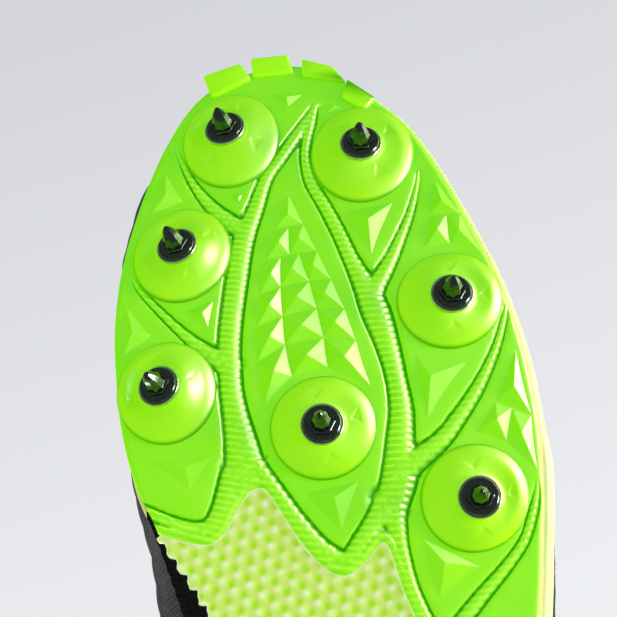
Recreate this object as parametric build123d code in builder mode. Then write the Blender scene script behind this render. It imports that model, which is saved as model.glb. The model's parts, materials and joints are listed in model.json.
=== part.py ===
"""Left track cleat: neon plate with screw-in metal spikes under a black lace-up upper.

Frame in millimetres: +Y to the toe, +X to the medial (big toe) side, +Z up, z = 0 on the ground.
"""

from build123d import *
import os
from math import hypot, pi, radians, sin

# ---------------------------------------------------------------- driving dimensions
BALL_Y = 42.0              # station of the lowest point under the ball of the foot
BALL_LEVEL = 11.4          # height of the plate's faces above the ground at the ball
SPRING_RADIUS = 185.0      # radius of the toe spring
SPRING_END_Y = 92.0        # forward of this the toe spring runs on straight
ARCH_RISE = 5.0            # extra height of the arch between heel and ball
HEEL_FRONT_Y = -75.0
HEEL_LEVEL = 12.0
HEEL_BEVEL_Y = -122.0      # behind this the heel's underside curves up
HEEL_BEVEL = 4.0

PLATE = 3.8                # plate thickness under its faces
CHANNEL_DEPTH = 1.8        # ribbed channels are this much shallower than the faces
WINDOW_RECESS = 1.2        # the arch window lies above the plate's faces by this much
FOAM_TOE = 4.2             # midsole foam under the toes
FOAM_HEEL = 12.5           # midsole foam under the heel
FOAM_OVERHANG = 1.0        # the foam stands out past the plate
BOARD = 1.2                # strobel board
LINER = 3.2                # sockliner
SHANK = 1.2

POD_RADIUS = 12.3
POD_HEIGHT = 2.8
POD_TOP_RADIUS = 6.0
WASHER = 0.6
WASHER_RADIUS = 4.95
FLANGE_RADIUS = 4.6
FLANGE = 1.1
HEX = 1.0
HEX_ACROSS_CORNERS = 7.8
SPIKE_BASE_RADIUS = 2.8
SPIKE_TIP_RADIUS = 0.45
SPIKE_REACH = 8.00         # from the washer to the tip
STEM_RADIUS = 2.40
STEM = 5.2
BORE_RADIUS = 2.48
BARREL_RADIUS = 3.9
BARREL = 5.6
NUT_RADIUS = 6.0
NUT_DEPTH = 3.5
NUT = 1.1

CLOTH = 2.2                # thickness of the upper
OVERLAY = 0.9              # thickness of the welded overlays
GAP = 0.35                 # room between soft neighbours
PADDING = 5.0              # thickness of tongue and collar padding
WIDE = 75.0                # half width of the cutting solids, wider than the shoe
TALL = 160.0               # height of the cutting solids, taller than the shoe

TAB_DROP = 1.2             # the toe tabs stand below the plate's faces by this much
WRAP = 0.8                 # thickness of the cloth that wraps the medial side of the arch
VAMP_Y = 34.0              # seam between vamp and quarters
HEEL_SEAM_Y = -96.0        # seam between quarters and heel panel
TONGUE_HALF_WIDTH = 22.0

THROAT_HALF_WIDTH = 10.0
THROAT_FRONT_Y = 58.0
THROAT_BACK_Y = -60.0
EYESTAY_WIDTH = 13.0
LACE_WIDTH = 6.5
LACE = 1.6
EYELET_X = 15.6
EYELET_YS = [49, 36, 23, 10, -4, -17]
EYELET_RADIUS = 4.0
EYELET = 0.8
EYELET_LIFT = 0.05         # clearance under the eyelets' rims

# spike number: (x, y, lean to the medial side, lean to the toe), degrees from straight down
SPIKES = {
    1: (19.5, 123.7, 5.5, 18.0),
    2: (-13.9, 114.3, -5.0, 15.5),
    3: (32.3, 90.8, 10.0, 17.5),
    4: (-32.7, 68.9, -8.5, 10.5),
    5: (38.1, 54.0, 12.5, 7.0),
    6: (0.4, 40.0, -3.0, 2.0),
    7: (-34.1, 18.9, -8.0, -5.5),
}
HEEL_STUDS = [(17.5, -84.0), (-19.0, -86.0), (15.0, -119.0), (-16.5, -119.5)]

# plan outline of the sole, from the middle of the heel round the medial side
SOLE_OUTLINE = [
    (0, -144), (20, -136), (31.5, -112), (30.5, -72), (29, -32), (36, -2), (43, 20),
    (48.4, 45), (48.6, 66), (43.6, 92), (36.5, 113), (28, 128.5), (15, 138.5), (3.5, 140.5),
    (-8, 137), (-17.8, 129.5), (-25.3, 119), (-32.4, 103.5), (-38.6, 87), (-43.9, 72),
    (-48.2, 52), (-49.4, 30), (-46.7, 4), (-41.5, -30), (-36.5, -70), (-33.5, -112), (-20.5, -136),
]
# rear edge of the forefoot plate, medial to lateral
PLATE_REAR = [
    (50, 20), (42.6, 19.9), (37, 18), (30.4, 16.2), (26, 18.3), (23.3, 22.3), (19.6, 27),
    (16.9, 27.8), (14.7, 26.4), (8.3, 14.5), (3.4, 8), (-1.2, 5.6), (-6, 8.2), (-9.6, 11.8),
    (-11.2, 12), (-12.4, 9), (-14.8, -1), (-19.5, -13), (-29, -26), (-42, -34), (-52, -36),
]
HEEL_FRONT = [(-60, -74), (-20, -68), (0, -74), (20, -68), (60, -74)]
WINDOW_MEDIAL = [(42.6, 21), (31.5, 0.5), (25.5, -18), (23.5, -38), (26, -58), (31, -74)]

# four toe tabs, each from its medial outer corner round to its medial inner corner
TOE_TABS = [
    [(24.6, 139.6), (16.0, 143.9), (12.4, 136.0), (21.6, 131.5)],
    [(12.5, 145.15), (1.8, 145.15), (1.6, 136.5), (11.6, 136.5)],
    [(-0.9, 143.0), (-12.3, 135.6), (-9.2, 130.0), (-0.2, 136.2)],
    [(-13.0, 135.1), (-21.4, 127.2), (-17.4, 123.0), (-10.0, 129.3)],
]

# recessed channels of the plate: centre line points with the half width there
CHANNELS = [
    [(-3.3, 129.7, 0.3), (-1.8, 125.7, 1.2), (6.1, 117.6, 1.5), (10.2, 108.9, 1.9), (13.2, 100.5, 2.3),
     (16.5, 92, 3), (18.4, 82, 3), (21, 66, 3), (21.5, 54, 3), (20.9, 46, 3.3), (19.9, 37, 4.4),
     (19.6, 28, 5.5)],
    [(33.1, 124, 0.3), (31, 116.7, 0.7), (28.1, 109.5, 1.2), (23.8, 102.4, 1.9), (18.1, 96, 2.6)],
    [(44.8, 86.5, 0.3), (42, 80.9, 0.8), (37.6, 74.9, 1.1), (32.3, 68.4, 1.4), (27.5, 63.3, 2.1),
     (21.7, 58.5, 3)],
    [(-3.3, 129.7, 0.3), (-1.2, 123.2, 1.3), (0.7, 115.9, 1.3), (-0.7, 106.4, 1.6), (-3.9, 98.6, 1.8),
     (-6.7, 91, 1.9), (-9.1, 83.5, 2.1), (-12, 75.4, 2.9), (-14.2, 68, 3.6), (-16.2, 59.3, 3),
     (-17.5, 50.8, 2.6), (-18, 42.5, 3), (-17, 34.6, 3.6), (-16, 26.9, 4.4), (-13.2, 19.5, 4)],
    [(-27.1, 105, 0.3), (-26.3, 100.3, 0.7), (-24.2, 93.3, 1.1), (-21.3, 86.6, 1.5), (-18.5, 80.9, 2),
     (-14.2, 74, 2.8)],
    [(-44.8, 65.1, 0.3), (-44.1, 62.2, 0.8), (-41.9, 56, 1.1), (-38.9, 50.1, 1.4), (-35.3, 44.4, 1.8),
     (-30.9, 38.9, 2.1), (-26.5, 34.2, 2.4), (-18.5, 29, 3.2)],
    [(-13.2, 21, 4.2), (-14.5, 14, 2.2), (-15, 9, 1.8), (-16.6, 0, 1.7), (-20.5, -10, 1.8),
     (-27, -18.5, 1.8), (-36, -25.5, 1.8)],
    [(-13.2, 21, 4), (-9.2, 17, 2.7), (-6, 13, 2.6), (-1.8, 9, 2.5), (3.4, 12, 2.6), (8.4, 18.7, 2.5),
     (12.3, 25, 2.5), (16.3, 31.3, 2.8), (19.9, 35, 4)],
    [(-47.4, 21.5, 0.3), (-46.9, 18.8, 0.8), (-45.7, 15.1, 1.2), (-43, 9, 1.3), (-38.1, 3.3, 1.5),
     (-33, -1.5, 1.8), (-29.2, -5.3, 2), (-24, -10.5, 2.1), (-20.5, -12.5, 1.8)],
    [(45.5, 27, 1), (37.7, 21.9, 1.7), (32.3, 19.8, 2.1), (28.5, 20.3, 2.6), (25.5, 24, 3.1),
     (22, 31, 4)],
]

# the last's plan outline at its widest: share of the length, medial and lateral half widths
SHARES = [0.03, 0.12, 0.26, 0.40, 0.56, 0.72, 0.86, 0.95]
SOLE_MEDIAL = [20.0, 32.0, 31.5, 34.0, 44.5, 49.3, 41.5, 28.5]
SOLE_LATERAL = [20.5, 34.0, 37.0, 43.0, 48.8, 47.2, 34.0, 19.5]
ANKLE = [13.0, 22.0, 29.0, 32.0, 30.5, 25.0, 17.5, 10.5]
TOE_SHIFT = 3.5            # the toe point lies to the medial side of the middle
# height, heel y, front y, share of the ankle's outline, scale of the sole's outline
LAST_SLICES = [
    (10, -141, 140.0, 0.0, 0.985),
    (34, -143, 141.2, 0.0, 1.0),
    (46, -144.0, 142.0, 0.0, 1.015),
    (56, -144.0, 139.5, 0.08, 1.015),
    (64, -142.8, 133, 0.20, 1.0),
    (71, -141.5, 121, 0.36, 0.96),
    (77, -140, 102, 0.52, 0.92),
    (83, -139.5, 79, 0.66, 0.9),
    (90, -140, 55, 0.80, 0.9),
    (98, -141.5, 32, 0.92, 0.9),
    (107, -143, 7, 1.0, 1.0),
    (118, -143.5, -22, 1.0, 1.0),
    (128, -143.5, -46, 1.0, 1.0),
]
# side view of the collar's edge, heel to instep
COLLAR_LINE = [(-150, 108.5), (-139, 107), (-120, 94), (-92, 84), (-62, 88), (-38, 101), (-20, 116)]


# ---------------------------------------------------------------- shared geometry
def sole_level(y):
    """Height of the plate's faces above the ground at station y."""
    if y > BALL_Y:
        run = min(y, SPRING_END_Y) - BALL_Y
        rise = run**2 / (2 * SPRING_RADIUS)
        return BALL_LEVEL + rise + (y - BALL_Y - run) * run / SPRING_RADIUS
    if y > HEEL_FRONT_Y:
        share = (BALL_Y - y) / (BALL_Y - HEEL_FRONT_Y)
        return BALL_LEVEL + ARCH_RISE * sin(pi * share) ** 2 + (HEEL_LEVEL - BALL_LEVEL) * share
    bevel = max(0.0, HEEL_BEVEL_Y - y) / 23.0
    return HEEL_LEVEL + HEEL_BEVEL * bevel**2


def foam_top(y):
    """Height of the midsole's top above the plate's faces."""
    share = min(1.0, max(0.0, (40.0 - y) / 125.0))
    blend = share**2 * (3 - 2 * share)
    return PLATE + FOAM_TOE + (FOAM_HEEL - FOAM_TOE) * blend


STATIONS = [-155, -140, -128, -114, -95, -75, -55, -35, -15, 5, 24, 42, 60, 76, 92, 115, 155]


def band(low, high):
    """Slab across the shoe between two heights above the sole's line, each a function of y."""
    with BuildPart() as slab:
        with BuildSketch(Plane.YZ):
            with BuildLine():
                under = Spline(*[(y, sole_level(y) + low(y)) for y in STATIONS])
                over = Spline(*[(y, sole_level(y) + high(y)) for y in STATIONS])
                Line(under @ 0, over @ 0)
                Line(under @ 1, over @ 1)
            make_face()
        extrude(amount=WIDE, both=True)
    return slab.part


def level(value):
    """A constant height, in the form that band takes."""
    return lambda y: value


def plan_solid(points, low=-5.0, high=TALL):
    """Upright solid on a smooth closed outline in plan."""
    with BuildPart() as solid:
        with BuildSketch(Plane.XY.offset(low)):
            with BuildLine():
                Spline(*points, periodic=True)
            make_face()
        extrude(amount=high - low)
    return solid.part


def grown(points, amount):
    """Points of a closed anticlockwise outline moved outward by amount."""
    moved = []
    for index, (x, y) in enumerate(points):
        before, after = points[index - 1], points[(index + 1) % len(points)]
        dx, dy = after[0] - before[0], after[1] - before[1]
        run = hypot(dx, dy)
        moved.append((x + dy / run * amount, y - dx / run * amount))
    return moved


def polygon_solid(points, low=-5.0, high=TALL):
    """Upright solid on a straight-sided outline in plan."""
    with BuildPart() as solid:
        with BuildSketch(Plane.XY.offset(low)):
            with BuildLine():
                Polyline(*points, close=True)
            make_face()
        extrude(amount=high - low)
    return solid.part


def side_solid(points):
    """Solid right across the shoe on a straight-sided outline in side view."""
    with BuildPart() as solid:
        with BuildSketch(Plane.YZ):
            with BuildLine():
                Polyline(*points, close=True)
            make_face()
        extrude(amount=WIDE, both=True)
    return solid.part


def under_line(points, floor, overhead):
    """Solid right across the shoe, from floor up to a smooth line in side view."""
    with BuildPart() as solid:
        with BuildSketch(Plane.YZ):
            with BuildLine():
                edge = Spline(*points)
                Polyline(edge @ 1, (points[-1][0], overhead), (160, overhead), (160, floor), (-160, floor),
                         (-160, points[0][1]), edge @ 0)
            make_face()
        extrude(amount=WIDE, both=True)
    return solid.part


def strip(points):
    """Outline of a strip that follows a centre line of (x, y, half width)."""
    left, right = [], []
    for index, (x, y, half) in enumerate(points):
        before = points[max(index - 1, 0)]
        after = points[min(index + 1, len(points) - 1)]
        dx, dy = after[0] - before[0], after[1] - before[1]
        run = hypot(dx, dy)
        left.append((x - dy / run * half, y + dx / run * half))
        right.append((x + dy / run * half, y - dx / run * half))
    return left + right[::-1]


def last(inset):
    """The foot-shaped solid inside the upper, its surface moved inward by inset."""
    fronts = [(row[2], row[0]) for row in LAST_SLICES]
    with BuildPart() as solid:
        for index, (height, heel_y, front_y, ankle, scale) in enumerate(LAST_SLICES):
            before = fronts[max(index - 1, 0)]
            after = fronts[min(index + 1, len(fronts) - 1)]
            dy, dz = after[0] - before[0], after[1] - before[1]
            run = hypot(dy, dz)
            front = front_y - inset * dz / run
            z = height + inset * dy / run if index > 2 else height
            heel = heel_y + inset
            length = front - heel
            medial, lateral = [], []
            for share, wide_m, wide_l, wide_a in zip(SHARES, SOLE_MEDIAL, SOLE_LATERAL, ANKLE):
                y = heel + share * length
                medial.append(((1 - ankle) * wide_m * scale + ankle * wide_a - inset, y))
                lateral.append((-(1 - ankle) * wide_l * scale - ankle * wide_a + inset, y))
            toe = (TOE_SHIFT * (1 - ankle), front)
            with BuildSketch(Plane.XY.offset(z)):
                with BuildLine():
                    Spline((0, heel), *medial, toe, *lateral[::-1], periodic=True)
                make_face()
        loft()
    return solid.part


def spike_plane(number):
    """Plane at the foot of a spike's axis on the plate's face, its normal pointing to the ground."""
    x, y, medial, toe = SPIKES[number]
    normal = Vector(sin(radians(medial)), sin(radians(toe)), 0)
    normal = normal - Vector(0, 0, (1 - normal.length**2) ** 0.5)
    seat = sole_level(y) - POD_HEIGHT - WASHER
    foot = Vector(x, y, seat) - normal * (POD_HEIGHT + WASHER)
    return Plane(origin=foot, x_dir=(1, 0, 0), z_dir=normal)


def finish(builder, label):
    """Label a finished piece, write its STEP file and report it."""
    builder.part.label = label
    export_step(builder.part, f"parts/{label}.step")
    box = builder.part.bounding_box()
    print(label, len(builder.part.solids()), round(builder.part.volume), box.min, box.max)


os.makedirs("parts", exist_ok=True)

sole_plan = plan_solid(SOLE_OUTLINE)
above_foam = band(foam_top, level(TALL))
last_outer = last(0)
last_inner = last(CLOTH)
last_overlay = last(-OVERLAY)
forefoot_zone = polygon_solid(PLATE_REAR + [(-60, 160), (60, 160)])
heel_zone = polygon_solid(HEEL_FRONT + [(60, -160), (-60, -160)])

# ---------------------------------------------------------------- spikes and their inserts
spike_planes = {number: spike_plane(number) for number in SPIKES}
for number, seat_plane in spike_planes.items():
    washer_face = seat_plane.offset(POD_HEIGHT)
    spike_face = seat_plane.offset(POD_HEIGHT + WASHER)

    with BuildPart() as receptacle:
        with BuildSketch(washer_face):
            Circle(BARREL_RADIUS)
        extrude(amount=-BARREL)
        with BuildSketch(washer_face.offset(-NUT_DEPTH)):
            Circle(NUT_RADIUS)
            with PolarLocations(NUT_RADIUS - 1.2, 3):
                Circle(0.7, mode=Mode.SUBTRACT)
        extrude(amount=-NUT)
        with BuildSketch(washer_face):
            Circle(BORE_RADIUS)
        extrude(amount=-BARREL, mode=Mode.SUBTRACT)
    finish(receptacle, f"receptacle_{number}")

    with BuildPart() as washer:
        with BuildSketch(washer_face):
            Circle(WASHER_RADIUS)
            Circle(BORE_RADIUS + 0.25, mode=Mode.SUBTRACT)
        extrude(amount=WASHER)
    finish(washer, f"washer_{number}")

    with BuildPart() as spike:
        with BuildSketch(spike_face):
            Circle(FLANGE_RADIUS)
        extrude(amount=FLANGE)
        chamfer(spike.faces().sort_by(Axis(spike_face.origin, spike_face.z_dir))[-1].edges(), 0.35)
        with BuildSketch(spike_face.offset(FLANGE)):
            RegularPolygon(HEX_ACROSS_CORNERS / 2, 6)
        extrude(amount=HEX, taper=12)
        with BuildSketch(spike_face.offset(FLANGE + HEX)):
            RegularPolygon(SPIKE_BASE_RADIUS, 8)
        with BuildSketch(spike_face.offset(FLANGE + HEX + 2.6)):
            RegularPolygon(SPIKE_BASE_RADIUS * 0.72, 8)
        with BuildSketch(spike_face.offset(SPIKE_REACH)):
            RegularPolygon(SPIKE_TIP_RADIUS, 8)
        loft(ruled=True)
        with BuildSketch(spike_face):
            Circle(STEM_RADIUS)
        extrude(amount=-STEM)
    finish(spike, f"spike_{number}")

# ---------------------------------------------------------------- sole
with BuildPart() as channels:
    for channel in CHANNELS:
        with BuildSketch(Plane.XY.offset(-5)):
            with BuildLine():
                Polyline(*strip(channel), close=True)
            make_face()
        extrude(amount=TALL)
    add(band(level(-1), level(CHANNEL_DEPTH)), mode=Mode.INTERSECT)

with BuildPart() as forefoot_plate:
    add(band(level(0), level(PLATE)))
    add(sole_plan, mode=Mode.INTERSECT)
    add(forefoot_zone, mode=Mode.INTERSECT)
    add(channels.part, mode=Mode.SUBTRACT)
    for seat_plane in spike_planes.values():
        with BuildSketch(seat_plane.offset(-1.5)):
            Circle(POD_RADIUS)
        with BuildSketch(seat_plane.offset(1.2)):
            Circle(POD_RADIUS - 0.8)
        with BuildSketch(seat_plane.offset(POD_HEIGHT)):
            Circle(POD_TOP_RADIUS)
        loft(ruled=True)
    for seat_plane in spike_planes.values():
        with BuildSketch(seat_plane.offset(POD_HEIGHT)):
            Circle(BARREL_RADIUS)
        extrude(amount=-BARREL, mode=Mode.SUBTRACT)
        with BuildSketch(seat_plane.offset(POD_HEIGHT - NUT_DEPTH)):
            Circle(NUT_RADIUS)
        extrude(amount=-NUT, mode=Mode.SUBTRACT)
finish(forefoot_plate, "forefoot_plate")

with BuildPart() as arch_window:
    add(band(level(WINDOW_RECESS), level(PLATE)))
    add(sole_plan, mode=Mode.INTERSECT)
    add(polygon_solid(WINDOW_MEDIAL + [(-60, -74), (-60, 30), (42, 30)]), mode=Mode.INTERSECT)
    add(forefoot_zone, mode=Mode.SUBTRACT)
    add(heel_zone, mode=Mode.SUBTRACT)
finish(arch_window, "arch_window")

with BuildPart() as heel_plate:
    add(band(level(0), level(PLATE)))
    add(sole_plan, mode=Mode.INTERSECT)
    add(heel_zone, mode=Mode.INTERSECT)
    for x, y in HEEL_STUDS:
        with BuildSketch(Plane.XY.offset(HEEL_LEVEL + 1)):
            with Locations((x, y)):
                Circle(11.5)
        with BuildSketch(Plane.XY.offset(HEEL_LEVEL - POD_HEIGHT)):
            with Locations((x, y)):
                Circle(7.2)
        loft(ruled=True)
        with BuildSketch(Plane.XY.offset(HEEL_LEVEL - POD_HEIGHT)):
            with Locations((x, y)):
                Circle(6.0)
        with BuildSketch(Plane.XY):
            with Locations((x, y)):
                Circle(4.2)
        loft(ruled=True)
finish(heel_plate, "heel_plate")

with BuildPart() as shank:
    add(band(level(PLATE), level(PLATE + SHANK)))
    add(plan_solid([(0, -82), (14, -70), (11, -20), (13, 12), (2, 24), (-13, 12), (-17, -20), (-14, -70)]),
        mode=Mode.INTERSECT)
finish(shank, "shank")

with BuildPart() as midsole:
    add(band(level(PLATE), foam_top))
    add(plan_solid(grown(SOLE_OUTLINE, FOAM_OVERHANG)), mode=Mode.INTERSECT)
    add(shank.part, mode=Mode.SUBTRACT)
finish(midsole, "midsole")

with BuildPart() as waist_wrap:
    add(band(level(PLATE - WRAP), foam_top))
    add(plan_solid(grown(SOLE_OUTLINE, FOAM_OVERHANG + WRAP)), mode=Mode.INTERSECT)
    add(polygon_solid(WINDOW_MEDIAL + [(60, -74), (60, 21)]), mode=Mode.INTERSECT)
    add(forefoot_zone, mode=Mode.SUBTRACT)
    add(heel_zone, mode=Mode.SUBTRACT)
    add(midsole.part, mode=Mode.SUBTRACT)
finish(waist_wrap, "waist_wrap")

with BuildPart() as toe_bumper:
    add([polygon_solid(tab) for tab in TOE_TABS])
    add(band(level(-TAB_DROP), level(PLATE)), mode=Mode.INTERSECT)
    add(sole_plan, mode=Mode.SUBTRACT)
    add(forefoot_plate.part, mode=Mode.SUBTRACT)
finish(toe_bumper, "toe_bumper")

foot_room = last(CLOTH + GAP)
with BuildPart() as strobel_board:
    add(band(foam_top, lambda y: foam_top(y) + BOARD))
    add(foot_room, mode=Mode.INTERSECT)
finish(strobel_board, "strobel_board")

with BuildPart() as sockliner:
    add(band(lambda y: foam_top(y) + BOARD, lambda y: foam_top(y) + BOARD + LINER))
    add(foot_room, mode=Mode.INTERSECT)
finish(sockliner, "sockliner")

# ---------------------------------------------------------------- upper
under_collar = under_line(COLLAR_LINE, 0, 150)
throat_mid = (THROAT_FRONT_Y + THROAT_BACK_Y) / 2
throat_length = THROAT_FRONT_Y - THROAT_BACK_Y


def throat_slot(half_width):
    """Upright slot over the tongue, its front end round."""
    with BuildPart() as slot:
        with BuildSketch(Plane.XY.offset(66)):
            with Locations((0, throat_mid)):
                SlotOverall(throat_length + 2 * half_width, 2 * half_width, rotation=90)
        extrude(amount=TALL)
    return slot.part


slot = throat_slot(THROAT_HALF_WIDTH)

with BuildPart() as upper_shell:
    add(last_outer)
    add(last_inner, mode=Mode.SUBTRACT)
    add(above_foam, mode=Mode.INTERSECT)
    add(under_collar, mode=Mode.INTERSECT)
    add(slot, mode=Mode.SUBTRACT)

UPPER_ZONES = {
    "vamp": [(-WIDE, VAMP_Y - 12), (0, VAMP_Y + 14), (WIDE, VAMP_Y - 12), (WIDE, 160), (-WIDE, 160)],
    "quarter_medial": [(0, VAMP_Y + 14), (WIDE, VAMP_Y - 12), (WIDE, HEEL_SEAM_Y), (0, HEEL_SEAM_Y)],
    "quarter_lateral": [(0, VAMP_Y + 14), (-WIDE, VAMP_Y - 12), (-WIDE, HEEL_SEAM_Y), (0, HEEL_SEAM_Y)],
    "heel_panel": [(-WIDE, HEEL_SEAM_Y), (WIDE, HEEL_SEAM_Y), (WIDE, -160), (-WIDE, -160)],
}
for label, zone in UPPER_ZONES.items():
    with BuildPart() as panel:
        add(upper_shell.part)
        add(polygon_solid(zone), mode=Mode.INTERSECT)
    finish(panel, label)

with BuildPart() as overlay_shell:
    add(last_overlay)
    add(last_outer, mode=Mode.SUBTRACT)
    add(above_foam, mode=Mode.INTERSECT)
    add(under_collar, mode=Mode.INTERSECT)
    add(slot, mode=Mode.SUBTRACT)

with BuildPart() as toe_guard:
    add(overlay_shell.part)
    add(side_solid([(84, 0), (84, 40), (108, 56), (128, 66), (160, 70), (160, 0)]), mode=Mode.INTERSECT)
finish(toe_guard, "toe_guard")

with BuildPart() as heel_counter:
    add(overlay_shell.part)
    add(side_solid([(-160, 0), (-70, 0), (-70, 42), (-98, 60), (-126, 78), (-160, 84)]), mode=Mode.INTERSECT)
finish(heel_counter, "heel_counter")

eyestay_slot = throat_slot(THROAT_HALF_WIDTH + EYESTAY_WIDTH)
for side, label in ((1, "eyestay_medial"), (-1, "eyestay_lateral")):
    with BuildPart() as eyestay:
        add(overlay_shell.part)
        add(eyestay_slot, mode=Mode.INTERSECT)
        add(polygon_solid([(0, -24), (side * WIDE, -24), (side * WIDE, 90), (0, 90)]), mode=Mode.INTERSECT)
    finish(eyestay, label)

with BuildPart() as lining_shell:
    add(last(CLOTH + GAP))
    add(last(CLOTH + GAP + PADDING), mode=Mode.SUBTRACT)

tongue_zone = polygon_solid([(-TONGUE_HALF_WIDTH, -62), (TONGUE_HALF_WIDTH, -62), (TONGUE_HALF_WIDTH - 2, 66),
                             (-TONGUE_HALF_WIDTH + 2, 66)], low=66)
with BuildPart() as tongue:
    add(lining_shell.part)
    add(tongue_zone, mode=Mode.INTERSECT)
    add(side_solid([(100, 60), (100, 140), (-44, 140), (-54, 120), (-20, 88), (60, 60)]), mode=Mode.INTERSECT)
    with BuildSketch(Plane.XZ.offset(-100)):
        with Locations((0, 85)):
            RectangleRounded(2 * TONGUE_HALF_WIDTH, 81.3, 16)
    extrude(amount=200, mode=Mode.INTERSECT)
finish(tongue, "tongue")

with BuildPart() as collar_lining:
    add(lining_shell.part)
    add(under_line([(y, z - 1.0) for y, z in COLLAR_LINE], 66, 150), mode=Mode.INTERSECT)
    add(side_solid([(-160, 66), (-60, 66), (-26, 84), (-30, 140), (-160, 140)]), mode=Mode.INTERSECT)
    add(polygon_solid([(-TONGUE_HALF_WIDTH - 1, -62), (TONGUE_HALF_WIDTH + 1, -62),
                       (TONGUE_HALF_WIDTH + 1, 66), (-TONGUE_HALF_WIDTH - 1, 66)]), mode=Mode.SUBTRACT)
finish(collar_lining, "collar_lining")

with BuildPart() as toe_puff:
    add(last_inner)
    add(last(CLOTH + 0.8), mode=Mode.SUBTRACT)
    add(band(lambda y: foam_top(y) + BOARD + LINER + GAP, level(TALL)), mode=Mode.INTERSECT)
    add(side_solid([(104, 0), (104, 60), (120, 67), (160, 67), (160, 0)]), mode=Mode.INTERSECT)
finish(toe_puff, "toe_puff")

with BuildPart() as heel_tape:
    add(overlay_shell.part)
    add(polygon_solid([(-9, -160), (9, -160), (7, -120), (-7, -120)]), mode=Mode.INTERSECT)
    add(side_solid([(-160, 84.5), (-126, 78.5), (-118, 160), (-160, 160)]), mode=Mode.INTERSECT)
finish(heel_tape, "heel_tape")

# ---------------------------------------------------------------- lacing
for side, label in ((1, "eyelets_medial"), (-1, "eyelets_lateral")):
    with BuildPart() as eyelets:
        for y in EYELET_YS:
            hits = last_overlay.find_intersection_points(Axis((side * EYELET_X, y, 0), (0, 0, 1)))
            point, normal = max(hits, key=lambda hit: hit[0].Z)
            with BuildSketch(Plane(origin=point, z_dir=normal if normal.Z > 0 else -normal).offset(EYELET_LIFT)):
                Circle(EYELET_RADIUS)
                Circle(EYELET_RADIUS - 1.6, mode=Mode.SUBTRACT)
            extrude(amount=EYELET)
    finish(eyelets, label)

lace_strips = [strip([(-EYELET_X, EYELET_YS[0], LACE_WIDTH / 2), (EYELET_X, EYELET_YS[0], LACE_WIDTH / 2)])]
for y, next_y in zip(EYELET_YS, EYELET_YS[1:]):
    for side in (1, -1):
        lace_strips.append(strip([(-side * EYELET_X, y, LACE_WIDTH / 2),
                                  (side * EYELET_X, next_y, LACE_WIDTH / 2)]))
lace_plan = [polygon_solid(outline, low=66) for outline in lace_strips]
with BuildPart() as lace:
    add(lace_plan)
    add(last(-OVERLAY - EYELET - LACE - 0.1), mode=Mode.INTERSECT)
    add(last(-OVERLAY - EYELET - 0.1), mode=Mode.SUBTRACT)
finish(lace, "lace")

with BuildPart() as tongue_keeper:
    add(last(CLOTH + GAP - 1.1))
    add(foot_room, mode=Mode.SUBTRACT)
    add(polygon_solid([(-8, -1), (8, -1), (8, -8), (-8, -8)], low=66), mode=Mode.INTERSECT)
finish(tongue_keeper, "tongue_keeper")
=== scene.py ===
"""Neon spiked track cleat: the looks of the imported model, in its own frame, in metres."""
import json
import math

import bmesh
import bpy
import numpy as np
from mathutils import Matrix, Vector
from mathutils.bvhtree import BVHTree
from mathutils.geometry import delaunay_2d_cdt

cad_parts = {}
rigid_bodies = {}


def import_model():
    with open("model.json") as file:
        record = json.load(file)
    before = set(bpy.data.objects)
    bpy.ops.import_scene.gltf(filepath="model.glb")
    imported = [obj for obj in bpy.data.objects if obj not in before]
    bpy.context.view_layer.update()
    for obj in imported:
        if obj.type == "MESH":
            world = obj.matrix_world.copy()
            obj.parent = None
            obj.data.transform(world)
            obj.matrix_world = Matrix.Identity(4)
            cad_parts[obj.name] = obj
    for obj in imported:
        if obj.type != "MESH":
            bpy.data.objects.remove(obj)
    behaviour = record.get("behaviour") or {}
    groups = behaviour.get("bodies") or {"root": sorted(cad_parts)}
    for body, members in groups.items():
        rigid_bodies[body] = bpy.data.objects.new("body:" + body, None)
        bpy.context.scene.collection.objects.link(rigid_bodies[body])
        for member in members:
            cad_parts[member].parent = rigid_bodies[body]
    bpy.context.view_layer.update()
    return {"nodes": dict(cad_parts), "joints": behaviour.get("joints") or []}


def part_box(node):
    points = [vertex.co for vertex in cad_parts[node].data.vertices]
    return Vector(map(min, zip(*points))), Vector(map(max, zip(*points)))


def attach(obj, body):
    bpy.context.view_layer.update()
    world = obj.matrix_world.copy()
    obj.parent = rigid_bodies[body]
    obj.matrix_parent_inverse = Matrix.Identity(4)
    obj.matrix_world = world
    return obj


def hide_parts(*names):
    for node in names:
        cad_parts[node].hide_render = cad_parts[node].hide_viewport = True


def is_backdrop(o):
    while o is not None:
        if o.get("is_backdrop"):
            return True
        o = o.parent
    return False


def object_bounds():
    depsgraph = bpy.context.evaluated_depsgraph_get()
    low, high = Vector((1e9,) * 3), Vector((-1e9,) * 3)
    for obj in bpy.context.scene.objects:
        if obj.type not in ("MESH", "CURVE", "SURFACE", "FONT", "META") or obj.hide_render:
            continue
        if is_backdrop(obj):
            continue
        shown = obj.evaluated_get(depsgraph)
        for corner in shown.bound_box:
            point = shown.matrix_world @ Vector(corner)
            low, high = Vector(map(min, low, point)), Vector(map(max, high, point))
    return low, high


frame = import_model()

MM = 0.001
TAU = 2 * math.pi

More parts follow.
